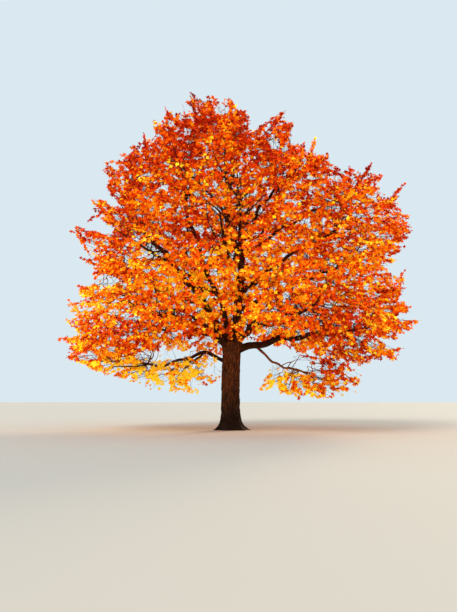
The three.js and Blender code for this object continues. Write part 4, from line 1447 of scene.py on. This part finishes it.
class MAPLE_OT_boughs(bpy.types.Operator):
    """Boughs from their swollen feet to the stems of the foliage"""

    bl_idname = "maple.boughs"
    bl_label = "Boughs"

    def execute(self, context):
        look = context.scene.maple.bark
        limbs, picks = [], []
        for name, limb in LIMBS.items():
            share = np.linspace(0, 1, BOUGH_RINGS[limb.row.parent == "trunk"])
            sides = BOUGH_SIDES[limb.row.foot > THICK_FOOT]
            radii = np.repeat(limb.radius(share)[:, None], sides, axis=1)
            depths = np.minimum(look.plate_depth, BOUGH_RELIEF * radii)
            limbs.append(barked(limb.line, share, radii, depths, look))
            # Lit boughs take the copy of the bark lightened with painted light, the others the copy
            # darkened with painted shade
            picks.append(np.full(sum(map(len, limbs[-1][0][1:])), name in LIT_BOUGHS))
        piece = bark_piece("bough_bark", limbs, [
            bark_material("bark of the boughs, darkened with painted shade", look, foot_shade=0.4,
                          top_shade=0.3),
            bark_material("bark of the hanging boughs, in the light", look, foot_shade=2.4,
                          top_shade=2.4)], np.concatenate(picks))
        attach(piece, "root")
        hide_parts(*[f"bough_{name}" for name in LIMBS])
        return {"FINISHED"}


def twig_tubes(masses, thin):
    """Tubes of the wood and shoots of some masses, and for each the number of its material."""
    for _, wood, growth in masses:
        for size in sorted({len(one.lines) for one in wood}):
            lines, radii = zip(*[one for one in wood if len(one.lines) == size])
            sides = STEM_SIDES if size == STEM_POINTS else TWIG_SIDES
            yield tubes(np.array(lines), np.array(radii), sides), 0
        for lines, thick in ((growth.mains, MAIN_SHOOT_THICK), (growth.sides, SIDE_SHOOT_THICK)):
            taper = np.linspace(1, SHOOT_TAPER, lines.shape[1]) * thin * thick
            yield tubes(lines, np.broadcast_to(taper, lines.shape[:2]), TWIG_SIDES), 1


class MAPLE_OT_twigs(bpy.types.Operator):
    """Stems, branchlets and shoots that carry the leaves, joined by tier"""

    bl_idname = "maple.twigs"
    bl_label = "Twigs"

    def execute(self, context):
        bark, leaves = context.scene.maple.bark, context.scene.maple.leaves
        # Old wood is rough and dull, and the year's shoots are smooth, with a faint shine
        old = plain_material("weathered twig bark", bark.old_twig, roughness=0.85,
                             specular=0.25)
        # The hanging twigs' bark is made pale with painted light
        low = plain_material("pale bark of the lowest twigs, in painted light", bark.painted_lit_low_twig, roughness=0.85,
                             specular=0.25)
        young = plain_material("smooth bark of the year's shoots", bark.young_twig,
                               roughness=0.6, specular=0.35)
        for tier, masses in crown(leaves).items():
            parts, kinds = zip(*twig_tubes(masses, leaves.shoot_radius))
            picks = np.repeat(kinds, [len(quads) + len(ends) for _, quads, ends in parts])
            piece = mesh_of(f"twigs_{tier}", parts, [low if tier == "hanging" else old, young],
                            picks)
            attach(piece, "root")
        return {"FINISHED"}


class MAPLE_OT_leaves(bpy.types.Operator):
    """Leaves of all sprays, joined by tier and coloured spray by spray"""

    bl_idname = "maple.leaves"
    bl_label = "Leaves"

    def execute(self, context):
        look = context.scene.maple.leaves
        rng = np.random.default_rng(SPRAY_SEED + 1)
        # Thin dry leaves, matt, with a painted glow of their own colour, the stronger the paler they
        # are
        materials = [
            plain_material(f"autumn maple leaf, {name}", getattr(look, name), roughness=0.8,
                           specular=0.05, glow=look.glow * (PAINTED_GLOW_DARKEST + PAINTED_GLOW_STEP * step))
            for step, name in enumerate(LEAF_TINTS)
        ]
        low, high = np.array(CAD_BOX[0]) - LEAF_MARGIN, np.array(CAD_BOX[1]) + LEAF_MARGIN
        for tier, masses in crown(look).items():
            growth = joined_growth([growth for _, _, growth in masses])
            roots, pointing, last = growth.roots, growth.pointing, len(LEAF_TINTS) - 1
            level = growth.tones * last + rng.normal(0, TINT_SHAKE, len(roots))
            picks = np.clip(np.round(level), 0, last)
            facing = FACE_SPRAY * growth.planes + FACE_OUT * unit(roots - CROWN_MIDDLE)
            facing = facing + rng.normal(0, FACE_SHAKE, roots.shape)
            normal = unit(facing - (facing * pointing).sum(-1, keepdims=True) * pointing)
            shapes = LEAF_CORNERS * rng.uniform(*LEAF_STRETCH, (len(roots), len(LEAF_CORNERS), 1))
            ways = np.stack([pointing, np.cross(normal, pointing), normal], 1)
            corners = roots[:, None] + growth.sizes[:, None, None] * (shapes @ ways)
            fits = ((corners > low) & (corners < high)).all((1, 2))
            corners, picks = corners[fits], picks[fits]
            first = len(LEAF_CORNERS) * np.arange(len(corners))
            faces = (LEAF_FACES + first[:, None, None]).reshape(-1, 3)
            piece = mesh_of(f"leaves_{tier}", [(corners.reshape(-1, 3), faces)], materials,
                            np.repeat(picks, len(LEAF_FACES)), False)
            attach(piece, "root")
            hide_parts(*[f"foliage_{limb.row.name}" for limb, _, _ in masses if limb])
        return {"FINISHED"}


class MAPLE_OT_stage(bpy.types.Operator):
    """Plain pale floor, soft studio light and the photograph's camera"""

    bl_idname = "maple.stage"
    bl_label = "Stage"

    def execute(self, context):
        scene = context.scene
        bpy.ops.object.select_all(action="DESELECT")
        bpy.ops.mesh.primitive_circle_add(vertices=96, radius=3000, fill_type="NGON")
        floor = context.active_object
        floor.name = "floor"
        # Matt, so that it shows the shadow and no reflection
        floor.data.materials.append(
            plain_material("pale matt floor", linear("#B9B6B0"), roughness=0.9, specular=0.1))

        scene.world = bpy.data.worlds.new("pale even light")
        scene.world.use_nodes = True
        tree = scene.world.node_tree
        tree.nodes.clear()
        glow = add_node(tree, "ShaderNodeBackground", Color=opaque(linear("#DCEBF3")),
                        Strength=0.98)
        add_node(tree, "ShaderNodeOutputWorld", Surface=glow.outputs[0])

        for name, colour, strength, angle, turn in (
                ("soft key from the front left", "#FFF3E2", 2.6, 30, (52, 0, -32)),
                ("warm light from behind right", "#FFDFB0", 2.2, 14, (68, 0, 152))):
            lamp = bpy.data.lights.new(name, "SUN")
            lamp.color = linear(colour)
            lamp.energy = strength
            lamp.angle = math.radians(angle)
            holder = bpy.data.objects.new(name, lamp)
            holder.rotation_euler = [math.radians(a) for a in turn]
            scene.collection.objects.link(holder)

        bpy.ops.object.camera_add(location=EYE, rotation=(math.pi / 2 + TILT, 0, 0))
        camera = context.active_object
        camera.data.lens = FOCAL
        camera.data.sensor_width = PICTURE
        camera.data.sensor_fit = "AUTO"
        camera.data.clip_end = 8000
        scene.camera = camera
        scene.view_settings.view_transform = "Standard"
        return {"FINISHED"}


class MAPLE_PT_panel(bpy.types.Panel):
    """The maple's pieces and settings"""

    bl_idname = "MAPLE_PT_panel"
    bl_label = "Red maple"
    bl_space_type = "VIEW_3D"
    bl_region_type = "UI"
    bl_category = "Maple"

    def draw(self, context):
        settings = context.scene.maple
        for group in (settings.bark, settings.leaves):
            for name in group.__annotations__:
                self.layout.prop(group, name)
        self.layout.prop(settings, "trunk_sides")
        for step in STEPS:
            self.layout.operator(step.bl_idname)


STEPS = (MAPLE_OT_trunk, MAPLE_OT_boughs, MAPLE_OT_twigs, MAPLE_OT_leaves, MAPLE_OT_stage)
CLASSES = (MapleBark, MapleLeaves, MapleSettings, *STEPS, MAPLE_PT_panel)


def register():
    for cls in CLASSES:
        bpy.utils.register_class(cls)
    bpy.types.Scene.maple = PointerProperty(type=MapleSettings)


def unregister():
    del bpy.types.Scene.maple
    for cls in reversed(CLASSES):
        bpy.utils.unregister_class(cls)


def main():
    register()
    for step in (bpy.ops.maple.trunk, bpy.ops.maple.boughs, bpy.ops.maple.twigs,
                 bpy.ops.maple.leaves, bpy.ops.maple.stage):
        step()


if __name__ == "__main__":
    main()
